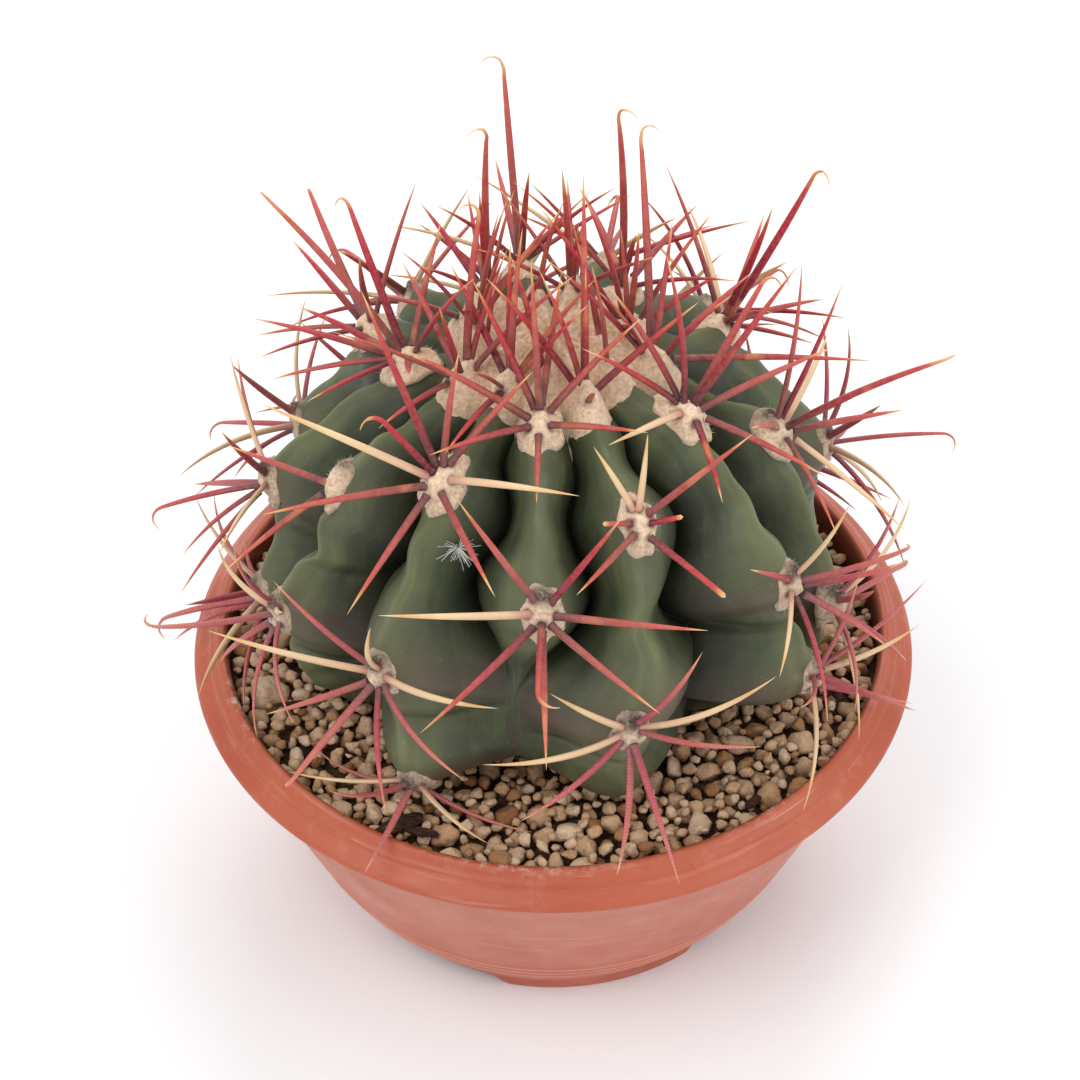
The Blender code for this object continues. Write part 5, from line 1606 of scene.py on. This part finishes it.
def make_seed(material, skin, random):
    """A small seed with a tuft of white hairs that has caught on a spine."""
    cloud = Cloud()
    ground, normal = (np.array(found) for found in skin.find_nearest(Vector(SEED_PLACE))[:2])
    middle = ground + normal * 0.0012
    points, faces = ball(2)
    cloud.add(points * np.array(SEED_SIZE) + middle, [faces], pale=0.0)
    for _ in range(SEED_HAIRS):
        add_seed_hair(cloud, middle, normal, random)
    return cloud.piece("seed_tuft", material, "crown_felt")


def ring_line(z):
    """1 on each of the fine raised lines round the wall, just over the foot."""
    return sum(bell(z - at, RING_LINE_WIDTH) for at in RING_LINES)


def moved(radius, z, steps):
    """Points of the profile, given in mm from a radius and a height."""
    return [(radius + out / 1000, z + up / 1000) for out, up in steps]


def bowl_profile():
    """Radius and height round the bowl's wall, from the rim's lip over the outside and back inside."""
    outer = moved(RIM_TOP_RADIUS, BOWL_HEIGHT, LIP_STEPS)
    outer += moved(RIM_RADIUS, BOWL_HEIGHT, RIM_STEPS)
    outer += moved(WALL_TOP_RADIUS, WALL_TOP_Z, UNDER_RIM_STEPS)
    near_lines = np.add.outer(RING_LINES, RING_LINE_WIDTH * np.array(RING_LINE_STEPS)).ravel()
    heights = np.concatenate((np.linspace(0.099, 0.034, 20), near_lines, LOW_WALL_HEIGHTS))
    for z in sorted(heights, reverse=True):
        plain = float(wall_radius(max(z, FLOOR_TOP_Z + 1e-6)))
        outer.append((plain + RING_LINE_DEPTH * ring_line(z), z))
    outer += moved(FOOT_RADIUS, 0.0, FOOT_STEPS)
    outer += [(0.066, FOOT_HEIGHT), (INNERMOST_RADIUS, FOOT_HEIGHT)]
    inner = [(INNERMOST_RADIUS, FLOOR_TOP_Z), (FOOT_RADIUS - WALL, FLOOR_TOP_Z + 0.0001)]
    inner += [(float(wall_radius(z)) - WALL, z) for z in np.linspace(0.012, 0.098, 14)]
    inner += moved(WALL_TOP_RADIUS - WALL, WALL_TOP_Z, ((-1.6, 2.0),))
    inner += moved(RIM_TOP_RADIUS, WALL_TOP_Z, ((-0.4, 8.0),))
    inner += moved(RIM_TOP_RADIUS, BOWL_HEIGHT, ((-1.2, -2.2), (-0.6, -0.9)))
    return outer, inner


def foot_lift(azimuth):
    """0 where a foot stands, 1 in the gaps between feet, with sloping ends."""
    quarter = 2 * math.pi / FOOT_COUNT
    from_gap = abs((azimuth - FIRST_FOOT_AZIMUTH) % quarter - quarter / 2) * FOOT_RADIUS
    return float(1 - smooth(from_gap, FOOT_GAP_LENGTH / 2, FOOT_GAP_LENGTH / 2 + FOOT_GAP_SLOPE))


def limed(azimuth):
    """How much lime has dried on the lip here."""
    gaps = [((math.degrees(azimuth) - at + 180) % 360 - 180, wide) for at, wide in LIME_AZIMUTHS]
    return min(1.0, sum(bell(gap, wide) for gap, wide in gaps))


def make_bowl(material):
    outer, inner = bowl_profile()
    points, values = [], []
    for index, (radius, z) in enumerate(outer + inner):
        # Inside the bowl, where painted shade is laid
        inside = float(index >= len(outer))
        lip = bell(radius - RIM_TOP_RADIUS, LIME_WIDTH) if z > WALL_TOP_Z + 0.006 else 0.0
        # Where the painted highlight on the ring lines lies
        line = 0.0 if inside else min(1.0, ring_line(z))
        for side in range(BOWL_SIDES):
            turn = 2 * math.pi * side / BOWL_SIDES
            azimuth = turn + math.pi / 2
            lift = foot_lift(azimuth) if z < FOOT_HEIGHT else 0.0
            low = z + (FOOT_HEIGHT - FOOT_GAP_DROP - z) * lift
            points.append((radius * math.cos(turn), radius * math.sin(turn), low))
            values.append((inside, lip * limed(azimuth), line))
    centre, under = len(points), len(outer) * BOWL_SIDES
    points += [(0.0, 0.0, FOOT_HEIGHT), (0.0, 0.0, FLOOR_TOP_Z)]
    values = np.transpose([*values, (0.0, 0.0, 0.0), (0.0, 0.0, 0.0)])
    around = loop_faces(len(outer) + len(inner), BOWL_SIDES)
    faces = [
        np.delete(around, slice(under - BOWL_SIDES, under), axis=0),
        cap_faces(under - BOWL_SIDES, BOWL_SIDES, centre, outward=False),
        cap_faces(under, BOWL_SIDES, centre + 1),
    ]
    cloud = Cloud()
    cloud.add(points, faces, **dict(zip(("inner", "lip", "line"), values)))
    drill(cloud.piece("bowl", material, "pot_plastic", "pot"))


def drill(bowl):
    """Opens the drain holes in the bowl's floor."""
    form = bmesh.new()
    across, radius = DRAIN_CIRCLE_RADIUS, DRAIN_HOLE_RADIUS
    for number in range(DRAIN_HOLES):
        azimuth = (number + 0.5) * 2 * math.pi / DRAIN_HOLES
        place = Matrix.Translation((across * math.sin(azimuth), -across * math.cos(azimuth), FOOT_HEIGHT))
        size = dict(segments=32, radius1=radius, radius2=radius, depth=0.03)
        bmesh.ops.create_cone(form, cap_ends=True, matrix=place, **size)
    drills = linked("drills", mesh_of("drills", form))
    cut = bowl.modifiers.new("drain", "BOOLEAN")
    cut.object = drills
    cut.solver = "EXACT"
    bpy.context.view_layer.update()
    graph = bpy.context.evaluated_depsgraph_get()
    drilled = bpy.data.meshes.new_from_object(bowl.evaluated_get(graph), depsgraph=graph)
    bowl.modifiers.clear()
    bowl.data = drilled
    bpy.data.objects.remove(drills)


def make_floor():
    form = bmesh.new()
    bmesh.ops.create_grid(form, x_segments=8, y_segments=8, size=20.0)
    floor = linked("floor", mesh_of("floor", form))
    floor.data.materials.append(floor_look())


def area_light(name, place, aim, size, power, colour):
    light = bpy.data.lights.new(name, "AREA")
    light.shape = "SQUARE"
    light.size = size
    light.energy = power
    light.color = colour
    lamp = linked(name, light)
    lamp.location = place
    lamp.rotation_euler = (Vector(aim) - Vector(place)).to_track_quat("-Z", "Y").to_euler()


def make_studio():
    world = bpy.data.worlds.new("studio")
    bpy.context.scene.world = world
    world.use_nodes = True
    back = world.node_tree.nodes["Background"]
    back.inputs["Color"].default_value = (1.0, 0.985, 0.98, 1.0)
    back.inputs["Strength"].default_value = 0.74
    for lamp in LAMPS:
        area_light(*lamp)
    view = bpy.context.scene.view_settings
    view.view_transform = "Standard"
    view.look = "None"
    view.exposure = 0.0
    view.gamma = 1.0


def make_camera():
    lens = bpy.data.cameras.new("photo")
    lens.sensor_width = SENSOR
    lens.lens = FOCAL_PIXELS / PHOTO_SIDE * SENSOR
    lens.clip_start = 0.01
    lens.clip_end = 50
    camera = linked("photo", lens)
    away = CAMERA_DISTANCE * math.cos(CAMERA_PITCH)
    camera.location = (CAMERA_X, -away, CAMERA_AIM_Z + CAMERA_DISTANCE * math.sin(CAMERA_PITCH))
    camera.rotation_euler = (math.pi / 2 - CAMERA_PITCH, 0.0, 0.0)
    camera.rotation_euler.rotate_axis("Z", -CAMERA_ROLL)
    bpy.context.scene.camera = camera


def make_fans(areoles, spines, lines, skin, felt, random):
    """The spines and the pad of each areole. Gives back the roots of the spines in the crown."""
    horn = spine_look()
    crown, roots = Cloud(), []
    for areole in areoles:
        number = areole.number
        own = [(spine, line) for spine, line in zip(spines, lines) if spine.number == number]
        if YOUNGEST <= number < 0:
            own += more_spines(areole, random)
        fan = crown if number < 0 else Cloud()
        for spine, line in own:
            add_spine(fan, spine, line, areole, random)
        if number < 0:
            roots += [line[0] for _, line in own]
            continue
        pad = Cloud()
        add_pad(pad, areole, [line for _, line in own], skin, random)
        fan.piece(f"fan_{number + 1:02d}", horn, "spines", f"areole_{number + 1:02d}")
        pad.piece(f"pad_{number + 1:02d}", felt, "crown_felt", f"areole_{number + 1:02d}")
    crown.piece("crown_spines", horn, "spines", "crown")
    return roots


def main():
    make_camera()
    make_studio()
    make_floor()
    areoles, buds = all_areoles(), all_buds()
    spines = all_spines(areoles, buds)
    lines = relaxed_lines(spines, areoles, plain_skin(SEAT_CLEARANCE))
    skin = tree_of(make_stem(stem_look()))
    random = np.random.RandomState(SEED + 4)
    felt = felt_look()
    roots = make_fans(areoles + buds, spines, lines, skin, felt, random)
    make_crown(felt, skin, roots, random)
    make_gravel(pumice_look(), skin, random)
    make_humus(humus_look())
    make_bark(bark_look(), random)
    make_seed(seed_look(), skin, random)
    make_bowl(pot_look())
    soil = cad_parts["soil"].data.materials
    soil.clear()
    soil.append(humus_look("growing_mix", 0.95))


main()
